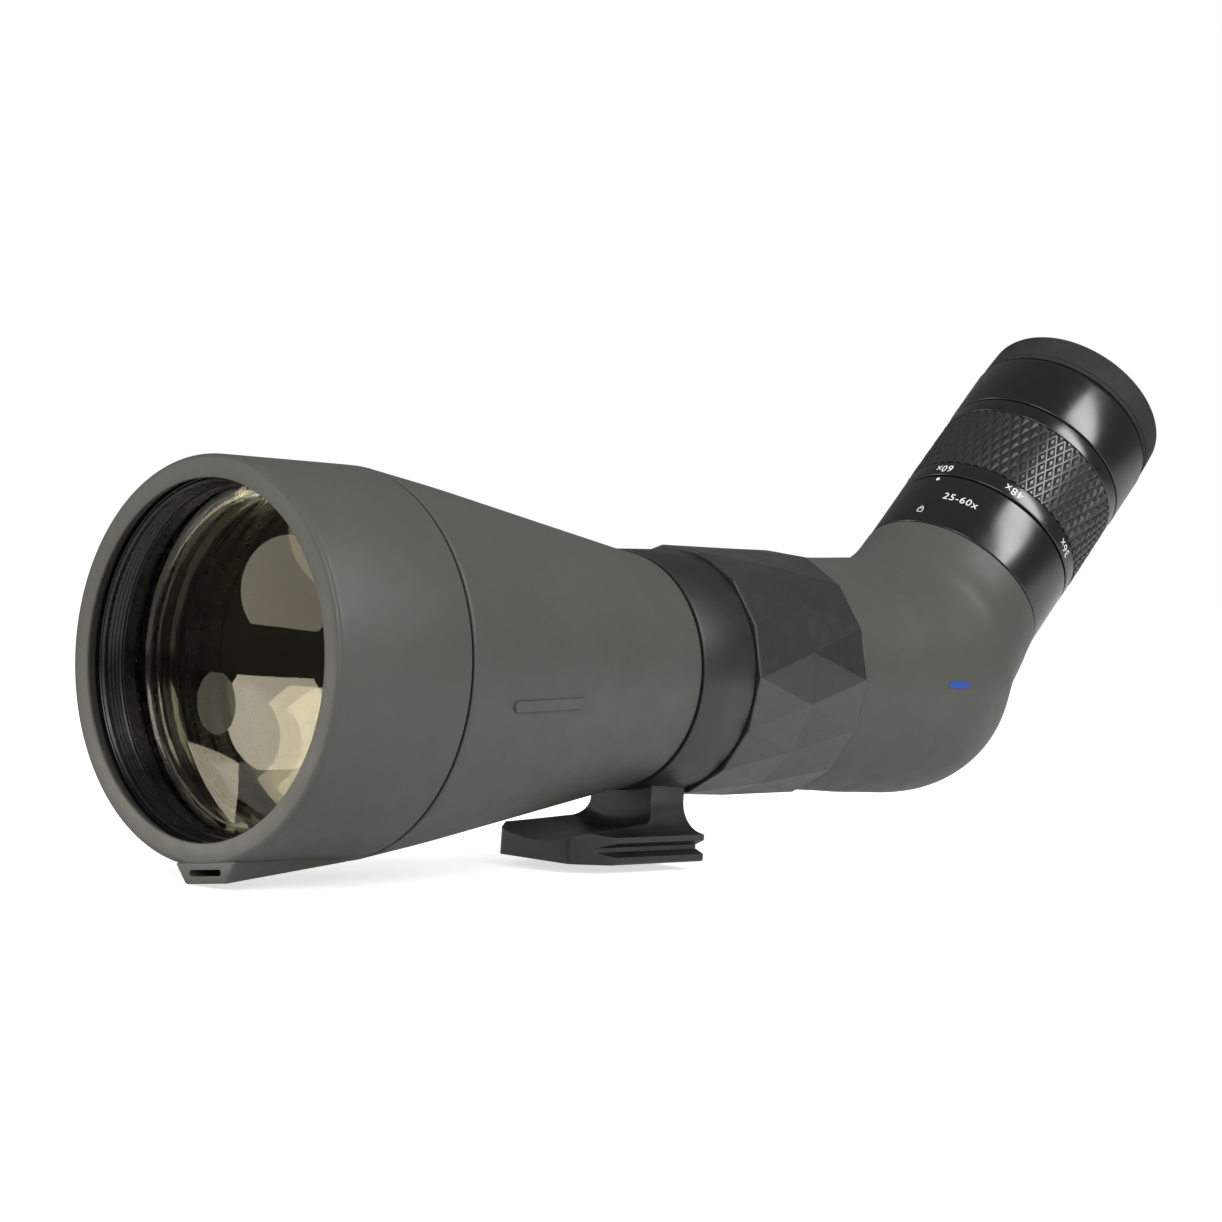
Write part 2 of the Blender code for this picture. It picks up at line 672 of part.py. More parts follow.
def make_eyepiece_body(eyepiece):
    """The eyepiece's fixed pieces: index ring, inner barrel, seat ring and end lenses."""
    turned(
        "index_ring", ring(36.5, 57.0, 27.15, EYE_RADIUS, 0.35), eyepiece, "black_anodised", LARGE
    )
    barrel_outline = [
        (20.0, EYE_BORE),
        (20.0, EYE_BARREL),
        (92.4, EYE_BARREL),
        (92.4, 23.7),
        (111.5, 23.7),
        (111.5, 21.8),
        (90.0, 21.8),
        (89.0, EYE_BORE),
    ]
    turned("eyepiece_barrel", barrel_outline, eyepiece, "black_anodised", LARGE)
    turned("seat_ring", ring(87.45, 92.4, 27.15, 29.6, 0.25), eyepiece, "black_anodised", LARGE)
    turned("field_lens_cell", ring(26.0, 33.0, 17.4, 24.25), eyepiece, "black_anodised")
    turned("field_lens", lens(27.5, 31.0, 17.0, 1.4, 0.0), eyepiece, "coated_glass", SMALL)
    turned("field_stop", ring(44.0, 45.4, 14.0, 24.25), eyepiece, "baffle_black")
    turned("eye_lens_cell", ring(101.0, 112.6, 17.4, 21.45), eyepiece, "black_anodised")
    turned("eye_lens", lens(103.0, 109.0, 17.0, 0.6, 1.8), eyepiece, "coated_glass", MEDIUM)
    turned("eye_lens_retainer", ring(111.0, 113.4, 15.6, 17.1), eyepiece, "black_anodised")


def make_zoom(eyepiece):
    """The zoom ring's three pieces and the two lens groups that it moves."""
    turned("zoom_sleeve", ring(57.4, 87.1, 27.15, 28.15), eyepiece, "black_anodised", LARGE)
    turned(
        "zoom_scale_ring", ring(57.4, 62.8, 28.5, EYE_RADIUS, 0.25), eyepiece, "black_anodised", LARGE
    )
    turned("zoom_grip", ring(63.1, 87.1, 28.5, 29.85, 0.4), eyepiece, "black_rubber", LARGE)
    turned("variator_cell", ring(56.0, 62.0, 15.4, 24.25), eyepiece, "black_anodised")
    turned("variator_lens", lens(57.5, 60.5, 15.0, -0.6, -0.6), eyepiece, "coated_glass", SMALL)
    turned("compensator_cell", ring(80.0, 87.0, 16.4, 24.25), eyepiece, "black_anodised")
    turned("compensator_lens", lens(81.5, 85.5, 16.0, 1.2, 1.2), eyepiece, "coated_glass", SMALL)


def make_eyecup(eyepiece):
    """The twist-up eyecup: carrier, sleeve and rubber rim."""
    turned("eyecup_carrier", ring(93.2, 112.0, 24.1, 27.4), eyepiece, "black_plastic", LARGE)
    sleeve = [
        (92.8, 27.75),
        (92.8, 29.6),
        (93.05, 29.85),
        (111.9, 29.9),
        (113.1, 29.3),
        (113.1, 27.75),
    ]
    turned("eyecup_sleeve", sleeve, eyepiece, "black_anodised", LARGE)
    rubber = [
        (113.5, 22.8),
        (113.5, 29.3),
        (114.3, 29.8),
        (118.5, 29.6),
        (122.5, 29.3),
        (124.0, 28.6),
        (EYE_TOP, 27.4),
        (EYE_TOP, 23.6),
        (123.6, 22.8),
        (119.0, 22.0),
    ]
    turned("eyecup_rubber", rubber, eyepiece, "black_rubber", LARGE)


def main():
    for thing in list(bpy.data.objects):
        bpy.data.objects.remove(thing, do_unlink=True)
    axis = add_empty("optical_axis", (-FOOT_MIDDLE, 0.0, AXIS_HEIGHT))
    barrel = add_empty("barrel_axis", (0.0, 0.0, 0.0), parent=axis)
    eyepiece = add_empty(
        "eyepiece_axis", (BEND_X, 0.0, 0.0), math.radians(-BEND_ANGLE), parent=barrel
    )
    make_collar(axis)
    make_lock_knob(axis)
    make_hood(barrel)
    make_objective(barrel)
    make_barrel(barrel)
    make_focus_grip(barrel)
    make_focus_train(barrel)
    make_housing(barrel)
    make_prism(barrel, eyepiece)
    make_eyepiece_body(eyepiece)
    make_zoom(eyepiece)
    make_eyecup(eyepiece)


main()
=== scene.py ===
"""The looks of an angled spotting scope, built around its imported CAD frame.

Every profile below is in millimetres. MAIN carries (x from the hood's front plane, y, z from
the optical axis) into the world. EYE does the same for the eyepiece, whose local +X runs up its
axis from the bend.
"""

import json
import math

import bmesh
import bpy
import numpy as np
from mathutils import Matrix, Vector
from mathutils.bvhtree import BVHTree


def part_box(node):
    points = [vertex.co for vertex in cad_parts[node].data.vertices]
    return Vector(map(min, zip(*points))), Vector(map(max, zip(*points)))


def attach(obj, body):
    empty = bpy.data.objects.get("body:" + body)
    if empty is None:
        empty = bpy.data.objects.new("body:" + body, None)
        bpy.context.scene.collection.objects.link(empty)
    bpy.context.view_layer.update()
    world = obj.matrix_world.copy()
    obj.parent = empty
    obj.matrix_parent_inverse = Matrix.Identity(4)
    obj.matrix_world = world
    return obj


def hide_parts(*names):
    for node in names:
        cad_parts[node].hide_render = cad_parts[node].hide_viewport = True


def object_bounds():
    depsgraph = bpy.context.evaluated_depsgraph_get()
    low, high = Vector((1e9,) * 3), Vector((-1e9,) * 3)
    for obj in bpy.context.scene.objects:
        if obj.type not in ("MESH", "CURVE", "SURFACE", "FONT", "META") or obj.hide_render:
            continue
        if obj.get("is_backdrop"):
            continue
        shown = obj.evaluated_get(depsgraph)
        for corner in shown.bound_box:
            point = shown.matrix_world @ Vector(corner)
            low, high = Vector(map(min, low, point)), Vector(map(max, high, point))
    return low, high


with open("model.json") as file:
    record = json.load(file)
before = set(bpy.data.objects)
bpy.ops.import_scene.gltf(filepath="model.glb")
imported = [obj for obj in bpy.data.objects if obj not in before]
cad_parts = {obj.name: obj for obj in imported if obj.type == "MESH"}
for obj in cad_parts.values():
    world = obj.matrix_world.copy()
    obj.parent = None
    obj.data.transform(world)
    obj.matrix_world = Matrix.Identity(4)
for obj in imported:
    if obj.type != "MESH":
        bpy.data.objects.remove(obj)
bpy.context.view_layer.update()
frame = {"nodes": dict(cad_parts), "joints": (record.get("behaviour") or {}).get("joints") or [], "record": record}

NODES = frame["nodes"]
JOINTS = {joint["name"]: joint for joint in frame["joints"]}
MM = 0.001
ROOT_HALF = math.sqrt(0.5)
UP = Vector((0.0, 0.0, 1.0))

# How the eyepiece and the hood's lug lie: the zoom joint's distance up the eyepiece's axis, in
# millimetres, the axis's tilt and the hood's turn, in degrees.
ZOOM_PIVOT = 72.0
EYE_TILT = -45.0
LUG_TURN = -7.0

# The frame's own places.
HOOD_FRONT_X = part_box("hood_shell")[0].x
AXIS_Z = JOINTS["barrel_rotation"]["pos_m"][2]
EYE_AXIS = -Vector(JOINTS["zoom_turn"]["axis"])
BEND = Vector(JOINTS["zoom_turn"]["pos_m"]) - ZOOM_PIVOT * MM * EYE_AXIS
KNOB_X = (JOINTS["lock_knob_turn"]["pos_m"][0] - HOOD_FRONT_X) / MM
SCALE = Matrix.Scale(MM, 4)
MAIN = Matrix.Translation((HOOD_FRONT_X, 0.0, AXIS_Z)) @ SCALE
EYE = Matrix.Translation(BEND) @ Matrix.Rotation(math.radians(EYE_TILT), 4, "Y") @ SCALE
HOOD = MAIN @ Matrix.Rotation(math.radians(LUG_TURN), 4, "X")

# Sizes shared by several pieces, in millimetres.
HOOD_RADIUS = 48.5
HOOD_LENGTH = 41.7
CONE_FRONT = 42.3
CONE_END = 143.2
COLLAR_BORE = 30.95
FOOT_DEPTH = 50.5
FOOT_HALF = 19.1
NECK_HALF = 11.0
FACETS = 15
FACET_TURN = 0.2166
EYE_RADIUS = 29.5
GLASS_RADIUS = 42.95
FOOT_ENDS = (116.8, 162.8)
LARGE_SOCKET_X = 130.5
SMALL_SOCKET_X = 152.5

# Steps round a turned piece.
FINEST = 224
FINE = 160
MEDIUM = 96
COARSE = 64

# The surround's strength as fill light and as seen in gloss, and the floor's glow to the camera.
FILL_STRENGTH = 0.5
GLOSS_STRENGTH = 0.16
FLOOR_GLOW = 0.66
FLOOR_GAP = 0.0002

# The photo's viewpoint: angles in radians, its place in millimetres from the hood's front centre.
CAMERA_HEADING = -0.829779
CAMERA_RISE = 0.0160295
CAMERA_ROLL = 0.0603426
CAMERA_PLACE = (-452.68, -543.24, 28.44)
CAMERA_FOCAL = 88.27


# ---------------------------------------------------------------- materials

# The stretch of a noise's values that its users spread over their own range.
NOISE_LOW, NOISE_HIGH = 0.3, 0.7


class Paint:
    """A Principled material under construction, with helpers for its procedural detail."""

    def __init__(self, name, colour, roughness, metallic=0.0):
        self.material = bpy.data.materials.new(name)
        self.material.use_nodes = True
        self.tree = self.material.node_tree
        self.shader = self.tree.nodes["Principled BSDF"]
        self.shader.inputs["Base Color"].default_value = (*colour, 1.0)
        self.shader.inputs["Roughness"].default_value = roughness
        self.shader.inputs["Metallic"].default_value = metallic
        self.place = self.node("ShaderNodeTexCoord").outputs["Object"]
        self.bump = None

    def node(self, kind):
        return self.tree.nodes.new(kind)

    def link(self, source, target):
        self.tree.links.new(source, target)

    def noise(self, scale, detail=3.0, squeeze=None):
        """Noise whose grain is about one metre over scale, squeezed along the axes where asked."""
        texture = self.node("ShaderNodeTexNoise")
        texture.inputs["Scale"].default_value = scale
        texture.inputs["Detail"].default_value = detail
        source = self.place
        if squeeze:
            mapping = self.node("ShaderNodeMapping")
            mapping.inputs["Scale"].default_value = squeeze
            self.link(source, mapping.inputs["Vector"])
            source = mapping.outputs["Vector"]
        self.link(source, texture.inputs["Vector"])
        return texture.outputs["Fac"]

    def spread(self, source, low, high, start=NOISE_LOW, end=NOISE_HIGH):
        """Carries the source's start..end range onto low..high."""
        remap = self.node("ShaderNodeMapRange")
        limits = {"From Min": start, "From Max": end, "To Min": low, "To Max": high}
        for socket, value in limits.items():
            remap.inputs[socket].default_value = value
        self.link(source, remap.inputs["Value"])
        return remap.outputs["Result"]

    def tint(self, source, dark, light):
        """Colours the surface between dark and light by the source."""
        ramp = self.node("ShaderNodeValToRGB")
        stops = ((NOISE_LOW, dark), (NOISE_HIGH, light))
        for element, (position, colour) in zip(ramp.color_ramp.elements, stops):
            element.position = position
            element.color = (*colour, 1.0)
        self.link(source, ramp.inputs["Fac"])
        self.link(ramp.outputs["Color"], self.shader.inputs["Base Color"])

    def rough(self, source, low, high):
        self.link(self.spread(source, low, high), self.shader.inputs["Roughness"])

    def raise_by(self, source, height, strength=1.0):
        """Adds a bump whose full swing is height, in metres, on top of the bumps before it."""
        bump = self.node("ShaderNodeBump")
        bump.inputs["Strength"].default_value = strength
        bump.inputs["Distance"].default_value = height
        self.link(source, bump.inputs["Height"])
        if self.bump:
            self.link(self.bump, bump.inputs["Normal"])
        self.bump = bump.outputs["Normal"]
        self.link(self.bump, self.shader.inputs["Normal"])

    def worn_edges(self, colour, amount, reach=0.0006):
        """Lightens the sharp edges of a tinted surface a little, unevenly, as handling does."""
        bevel = self.node("ShaderNodeBevel")
        bevel.samples = 4
        bevel.inputs["Radius"].default_value = reach
        geometry = self.node("ShaderNodeNewGeometry")
        turn = self.node("ShaderNodeVectorMath")
        turn.operation = "DOT_PRODUCT"
        self.link(bevel.outputs["Normal"], turn.inputs[0])
        self.link(geometry.outputs["Normal"], turn.inputs[1])
        edge = self.spread(turn.outputs["Value"], amount, 0.0, 0.90, 0.985)
        broken = self.node("ShaderNodeMath")
        broken.operation = "MULTIPLY"
        self.link(edge, broken.inputs[0])
        self.link(self.spread(self.noise(900.0, 4.0), 0.2, 1.0), broken.inputs[1])
        mix = self.node("ShaderNodeMix")
        mix.data_type = "RGBA"
        mix.inputs["B"].default_value = (*colour, 1.0)
        base = self.shader.inputs["Base Color"]
        self.link(base.links[0].from_socket, mix.inputs["A"])
        self.link(broken.outputs["Value"], mix.inputs["Factor"])
        self.link(mix.outputs["Result"], base)


def make_body_paint():
    """Grey-green armour paint: satin, with a very fine pebble and faint patches."""
    paint = Paint("body_paint", (0.0728, 0.0738, 0.0621), 0.5)
    paint.tint(paint.noise(35.0, 5.0), (0.0685, 0.0696, 0.0578), (0.0770, 0.0781, 0.0663))
    paint.rough(paint.noise(160.0, 4.0), 0.44, 0.54)
    paint.raise_by(paint.noise(2600.0, 2.0), 0.00004, 0.5)
    paint.raise_by(paint.noise(420.0, 2.0), 0.00005, 0.25)
    paint.worn_edges((0.13, 0.13, 0.115), 0.35)
    return paint.material


def make_anodised(name="black_anodised", rough=(0.30, 0.40), shade=0.011):
    """Satin black anodised aluminium with a fine blasted grain."""
    paint = Paint(name, (shade, shade, shade * 1.05), 0.35)
    paint.shader.inputs["Specular IOR Level"].default_value = 0.75
    high = (shade * 1.3, shade * 1.3, shade * 1.35)
    paint.tint(paint.noise(60.0, 4.0), (shade * 0.8,) * 3, high)
    paint.rough(paint.noise(90.0, 3.0), *rough)
    paint.raise_by(paint.noise(5200.0, 2.0), 0.00001, 0.25)
    paint.worn_edges((0.11, 0.11, 0.11), 0.55, 0.0004)
    return paint.material


def make_rubber(name="grip_rubber", shade=0.021, rough=(0.55, 0.68), gloss=0.5):
    """Dark rubber with a fine moulded grain and a little dust in it."""
    paint = Paint(name, (shade, shade, shade), 0.62)
    paint.shader.inputs["Specular IOR Level"].default_value = gloss
    paint.tint(paint.noise(90.0, 5.0), (shade * 0.85,) * 3, (shade * 1.2,) * 3)
    paint.rough(paint.noise(300.0, 3.0), *rough)
    paint.raise_by(paint.noise(3800.0, 3.0), 0.00002, 0.35)
    paint.worn_edges((0.075, 0.075, 0.075), 0.4, 0.0005)
    return paint.material


def make_plastic():
    paint = Paint("black_plastic", (0.015, 0.015, 0.016), 0.5)
    paint.tint(paint.noise(120.0), (0.012, 0.012, 0.013), (0.018, 0.018, 0.019))
    paint.rough(paint.noise(500.0), 0.42, 0.58)
    paint.raise_by(paint.noise(3000.0), 0.00003, 0.5)
    return paint.material


def make_baffle():
    """Flocked black that swallows stray light."""
    paint = Paint("baffle_black", (0.005, 0.005, 0.005), 0.9)
    paint.shader.inputs["Specular IOR Level"].default_value = 0.15
    paint.tint(paint.noise(1500.0), (0.003, 0.003, 0.003), (0.008, 0.008, 0.008))
    paint.raise_by(paint.noise(4000.0, 4.0), 0.0001, 0.8)
    return paint.material


def make_cell_black():
    """The deep, even black of the rings and ground edges round a lens."""
    paint = Paint("cell_black", (0.004, 0.004, 0.004), 0.3)
    paint.shader.inputs["Specular IOR Level"].default_value = 0.45
    paint.tint(paint.noise(200.0), (0.004, 0.004, 0.004), (0.007, 0.007, 0.007))
    paint.rough(paint.noise(300.0), 0.24, 0.34)
    paint.raise_by(paint.noise(4500.0), 0.00001, 0.4)
    return paint.material


def make_glass(name, tint, gloss):
    """Polished glass whose coating tints and weakens what it reflects."""
    paint = Paint(name, (0.97, 0.97, 0.92), 0.0)
    paint.shader.inputs["Transmission Weight"].default_value = 1.0
    paint.shader.inputs["IOR"].default_value = 1.5
    paint.shader.inputs["Specular IOR Level"].default_value = gloss
    paint.shader.inputs["Specular Tint"].default_value = (*tint, 1.0)
    paint.rough(paint.noise(40.0), 0.0, 0.012)
    return paint.material


def make_metal(name, colour, dark, rough):
    """Turned metal, its fine lines running round the X axis."""
    paint = Paint(name, colour, 0.3, 1.0)
    lines = paint.noise(60.0, 2.0, (60.0, 1.0, 1.0))
    paint.tint(lines, dark, colour)
    paint.rough(lines, *rough)
    paint.raise_by(lines, 0.00002, 0.4)
    return paint.material


def make_felt():
    paint = Paint("felt", (0.02, 0.02, 0.02), 0.95)
    paint.shader.inputs["Sheen Weight"].default_value = 0.4
    paint.tint(paint.noise(2500.0, 4.0), (0.012, 0.012, 0.012), (0.035, 0.035, 0.035))
    paint.raise_by(paint.noise(5000.0, 4.0), 0.00015, 0.8)
    return paint.material


def make_ink(name, colour, rough=0.45):
    """Printed or enamelled colour, very slightly uneven."""
    paint = Paint(name, colour, rough)
    paint.tint(paint.noise(700.0, 3.0), tuple(c * 0.9 for c in colour), colour)
    paint.raise_by(paint.noise(3000.0), 0.00001, 0.4)
    return paint.material


PAINTS = {
    "body_paint": make_body_paint(),
    "black_anodised": make_anodised(),
    "eyepiece_black": make_anodised("eyepiece_black", (0.19, 0.25), 0.008),
    "foot_black": make_anodised("foot_black", (0.34, 0.46), 0.009),
    "cell_black": make_cell_black(),
    "grip_rubber": make_rubber(),
    "focus_rubber": make_rubber("focus_rubber", 0.022, (0.27, 0.34), 0.8),
    "eyecup_rubber": make_rubber("eyecup_rubber", 0.022, (0.66, 0.78), 0.3),
    "knurled_grip": make_rubber("knurled_grip", 0.014, (0.26, 0.34), 0.8),
    "black_plastic": make_plastic(),
    "baffle_black": make_baffle(),
    "front_glass": make_glass("front_glass", (1.0, 0.94, 0.76), 0.5),
    "coated_glass": make_glass("coated_glass", (1.0, 0.88, 0.60), 0.18),
    "bare_steel": make_metal("bare_steel", (0.60, 0.60, 0.61), (0.38, 0.38, 0.39), (0.22, 0.38)),
    "gear_brass": make_metal("gear_brass", (0.70, 0.52, 0.23), (0.48, 0.34, 0.13), (0.25, 0.4)),
    "felt": make_felt(),
    "white_print": make_ink("white_print", (0.82, 0.82, 0.80)),
    "blue_enamel": make_ink("blue_enamel", (0.008, 0.075, 0.40), 0.3),
}


# ---------------------------------------------------------------- mesh making


def linked_object(name, form):
    """Turns a bmesh into an object of the scene, as it is."""
    mesh = bpy.data.meshes.new(name)
    form.to_mesh(mesh)
    form.free()
    made = bpy.data.objects.new(name, mesh)
    bpy.context.scene.collection.objects.link(made)
    return made


def smooth(mesh, sharp):
    """Shades a mesh smooth, except at edges that turn by more than sharp degrees."""
    mesh.shade_smooth()
    mesh.set_sharp_from_angle(angle=math.radians(sharp))


def new_piece(name, form, matrix, sharp=30.0):
    """Closes a bmesh in millimetres into an object whose mesh is in world metres."""
    bmesh.ops.remove_doubles(form, verts=form.verts, dist=1e-4)
    bmesh.ops.recalc_face_normals(form, faces=form.faces)
    piece = linked_object(name, form)
    piece.data.transform(matrix)
    smooth(piece.data, sharp)
    return piece


def settle(piece):
    """Applies the piece's modifiers, so that what is kept is its final mesh."""
    graph = bpy.context.evaluated_depsgraph_get()
    mesh = bpy.data.meshes.new_from_object(piece.evaluated_get(graph))
    piece.modifiers.clear()
    piece.data = mesh
    smooth(mesh, 30.0)
    return piece


def dress(piece, paint, body, replaced=()):
    """Gives a piece its material and its body, and hides the CAD nodes it stands for."""
    piece.data.materials.clear()
    piece.data.materials.append(PAINTS[paint])
    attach(piece, body)
    if replaced:
        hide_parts(*replaced)


def lathe_form(outline, steps):
    """Spins a closed outline of (x, radius) about X. Points at radius 0 close a solid piece."""
    form = bmesh.new()
    rows = []
    for x, radius in outline:
        if radius < 1e-6:
            rows.append([form.verts.new((x, 0.0, 0.0))])
            continue
        angles = [math.tau * i / steps for i in range(steps)]
        circle = [(x, radius * math.cos(a), radius * math.sin(a)) for a in angles]
        rows.append([form.verts.new(point) for point in circle])
    for low, high in zip(rows, rows[1:] + rows[:1]):
        for i in range(steps):
            after = (i + 1) % steps
            corners = [low[i % len(low)], low[after % len(low)]]
            corners += [high[after % len(high)], high[i % len(high)]]
            unique = list(dict.fromkeys(corners))
            if len(unique) > 2:
                form.faces.new(unique)
    return form


def lathe(name, outline, matrix, steps=FINE, sharp=30.0):
    return new_piece(name, lathe_form(outline, steps), matrix, sharp)


def walls(form, low, high):
    """Joins two rings of as many points by a band of four-sided faces."""
    for i in range(len(low)):
        after = (i + 1) % len(low)
        form.faces.new((low[i], low[after], high[after], high[i]))


def arc(centre, radius, start, end, steps=5):
    """Points of an arc from the start angle to the end angle, in degrees."""
    angles = [math.radians(start + (end - start) * i / steps) for i in range(steps + 1)]
    return [(centre[0] + radius * math.cos(a), centre[1] + radius * math.sin(a)) for a in angles]


def tube(front, back, bore, radius):
    """The outline of a ring with rounded outer edges and a slight chamfer at its bore."""
    edge, inner_edge = 0.3, 0.15
    outline = [(front, bore + inner_edge)]
    outline += arc((front + edge, radius - edge), edge, 180.0, 90.0, 4)
    outline += arc((back - edge, radius - edge), edge, 90.0, 0.0, 4)
    outline += [(back, bore + inner_edge), (back - inner_edge, bore), (front + inner_edge, bore)]
    return outline


def dome(x, radius, bulge, steps=14):
    """Points of a spherical face from the axis to its rim at x; bulge is signed towards -X."""
    sphere = (radius**2 + bulge**2) / (2.0 * abs(bulge))
    points = []
    for i in range(steps + 1):
        r = radius * i / steps
        depth = math.sqrt(sphere**2 - r**2) - (sphere - abs(bulge))
        points.append((x - math.copysign(depth, bulge), r))
    return points


def lens_outline(front, back, radius, front_bulge, back_bulge):
    """A lens outline with finely ground rims; a positive bulge swells outwards."""
    face = dome(front, radius - 0.3, front_bulge)
    rear = [(2 * back - x, r) for x, r in dome(back, radius - 0.3, back_bulge)]
    return face + [(front + 0.3, radius), (back - 0.3, radius)] + list(reversed(rear))


def extruded(name, outline, low, high, matrix):
    """Extrudes an outline of (y, z) points along X."""
    form = bmesh.new()
    base = [form.verts.new((low, y, z)) for y, z in outline]
    end = [form.verts.new((high, y, z)) for y, z in outline]
    form.faces.new(base)
    form.faces.new(end)
    walls(form, base, end)
    return new_piece(name, form, matrix)


def combine(target, others, operation):
    """Joins or cuts with each helper in turn, then removes the helpers."""
    for other in others:
        modifier = target.modifiers.new(other.name, "BOOLEAN")
        modifier.operation = operation
        modifier.solver = "EXACT"
        modifier.object = other
    settle(target)
    for other in others:
        bpy.data.objects.remove(other, do_unlink=True)
    return target


def soften(piece, width, angle, segments):
    """Rounds the edges that turn by over angle degrees by width, in millimetres."""
    bevel = piece.modifiers.new("soften", "BEVEL")
    bevel.width = width * MM
    bevel.segments = segments
    bevel.limit_method = "ANGLE"
    bevel.angle_limit = math.radians(angle)
    return settle(piece)


def sheet_on(name, target, outline_points, rise, sink, direction):
    """A thin raised plate that follows the target's surface.

    outline_points is a closed loop in world metres, dropped along direction onto the target.
    """
    tree = BVHTree.FromObject(target, bpy.context.evaluated_depsgraph_get())
    form = bmesh.new()
    loop = [form.verts.new(point) for point in outline_points]
    form.faces.new(loop)
    bmesh.ops.triangulate(form, faces=form.faces)
    bmesh.ops.subdivide_edges(form, edges=form.edges, cuts=2, use_grid_fill=True)
    flat = list(form.verts)
    spots = {}
    for vert in flat:
        spot, normal, _, _ = tree.ray_cast(vert.co - direction * 0.05, direction)
        spots[vert] = (spot, normal)
        vert.co = spot + normal * rise
    copy = bmesh.ops.duplicate(form, geom=list(form.verts) + list(form.edges) + list(form.faces))
    for vert in flat:
        twin = copy["vert_map"][vert]
        spot, normal = spots[vert]
        twin.co = spot - normal * sink
    rims = [edge for edge in form.edges if len(edge.link_faces) == 1]
    bmesh.ops.bridge_loops(form, edges=rims)
    bmesh.ops.recalc_face_normals(form, faces=form.faces)
    piece = linked_object(name, form)
    smooth(piece.data, 40.0)
    return piece


def pill(centre, along, across, length, width, steps=10):
    """The closed loop of a bar with round ends, in world metres."""
    half = (length - width) / 2.0
    points = []
    for side, start in ((half, -90.0), (-half, 90.0)):
        for x, y in arc((side, 0.0), width / 2.0, start, start + 180.0, steps):
            points.append(centre + (along * x + across * y) * MM)
    return points


# ---------------------------------------------------------------- hood and objective


def build_hood():
    """The sunshade: a flared lip, a rounded front edge, and the tether lug with its slot."""
    lip = [(3.1, 43.7), (2.0, 43.3), (1.2, 42.95), (0.7, 42.78), (0.35, 42.82)]
    lip += [(0.12, 43.0), (0.0, 43.3)]
    edge = arc((1.5, HOOD_RADIUS - 1.5), 1.5, 180.0, 90.0, 7)
    end = HOOD_LENGTH - 0.15
    tail = arc((end - 0.3, HOOD_RADIUS - 0.3), 0.3, 90.0, 0.0, 3)
    outline = lip + edge + tail + [(end, 46.75), (end - 0.2, 46.6), (3.1, 46.6)]
    shell = lathe("hood_piece", outline, HOOD, FINEST)
    high = -HOOD_RADIUS + 1.3
    form = bmesh.new()
    loops = []
    for x, low in ((0.05, -HOOD_RADIUS - 3.85), (38.0, high - 1.25)):
        corners = ((-11.0, high), (11.0, high), (7.4, low), (-7.4, low))
        loops.append([form.verts.new((x, y, z)) for y, z in corners])
    front, rear = loops
    form.faces.new(front)
    form.faces.new(rear)
    walls(form, front, rear)
    lug = soften(new_piece("lug", form, HOOD), 0.9, 20.0, 3)
    slot_outline = arc((4.95, -49.75), 0.78, -90.0, 90.0, 6)
    slot_outline += arc((-4.95, -49.75), 0.78, 90.0, 270.0, 6)
    slot = extruded("slot", slot_outline, -1.0, 9.0, HOOD)
    combine(shell, [lug], "UNION")
    combine(shell, [slot], "DIFFERENCE")
    dress(shell, "body_paint", "hood", ["hood_shell"])


def threads(front, back, radius, depth, pitch):
    """Fine inward ridges from back to front along a bore."""
    points = []
    count = int((back - front) / pitch)
    for i in range(count):
        x = back - (i + 0.5) * (back - front) / count
        step = (back - front) / count / 2.0
        points += [(x + step * 0.5, radius + depth), (x, radius), (x - step * 0.5, radius)]
    return points


def blacken_rim(lens, axis):
    """Paints a lens's ground edge black, as an optician does, against stray light."""
    lens.data.materials.append(PAINTS["cell_black"])
    for face in lens.data.polygons:
        if abs(face.normal.dot(axis)) < 0.85:
            face.material_index = 1


def build_objective():
    """The cell, the threaded filter ring, the retainer and the glass."""
    loose = 43.05
    cell = [(4.4, 43.5), (4.4, 44.35), (4.65, 44.6), (51.4, 44.6), (51.7, 44.3), (51.7, 40.6)]
    cell += [(40.3, 40.6), (40.3, 43.35), (4.55, 43.35)]
    piece = lathe("objective_cell_piece", cell, MAIN)
    dress(piece, "cell_black", "barrel", ["objective_cell"])
    ring = [(4.9, 42.3), (4.4, 42.75), (4.4, loose - 0.1), (4.5, loose)]
    ring += [(10.1, loose), (10.1, 42.3)] + threads(5.4, 9.9, 42.3, 0.42, 1.1)
    piece = lathe("filter_thread_ring", ring, MAIN)
    dress(piece, "cell_black", "barrel", ["filter_ring"])
    retainer = [(10.45, 42.12), (10.4, loose - 0.2), (10.6, loose), (15.9, loose), (15.9, 42.85)]
    retainer += [(14.3, 42.2), (14.1, 42.0), (10.6, 42.0)]
    piece = lathe("objective_retaining_ring", retainer, MAIN)
    dress(piece, "cell_black", "barrel", ["objective_retainer"])
    glasses = (
        ("front_element", "front_glass", "front_lens", 16.3, 21.3, 3.4, 1.0),
        ("middle_element", "coated_glass", "middle_lens", 23.3, 29.3, -1.5, -1.0),
        ("rear_element", "coated_glass", "rear_lens", 31.3, 36.3, 0.5, 1.2),
    )
    for name, paint, node, front, back, bulge, rear_bulge in glasses:
        outline = lens_outline(front, back, GLASS_RADIUS, bulge, rear_bulge)
        lens = lathe(name, outline, MAIN, FINE, 50.0)
        dress(lens, paint, "barrel", [node])
        blacken_rim(lens, Vector((1.0, 0.0, 0.0)))


# ---------------------------------------------------------------- barrel casing


def cone_radius(x):
    """The casing's outer radius at x: a gentle taper near the hood, then a steeper one."""
    if x < 64.7:
        return 48.5 - 0.1495 * (x - CONE_FRONT)
    return 45.15 - 0.1735 * (x - 64.7)


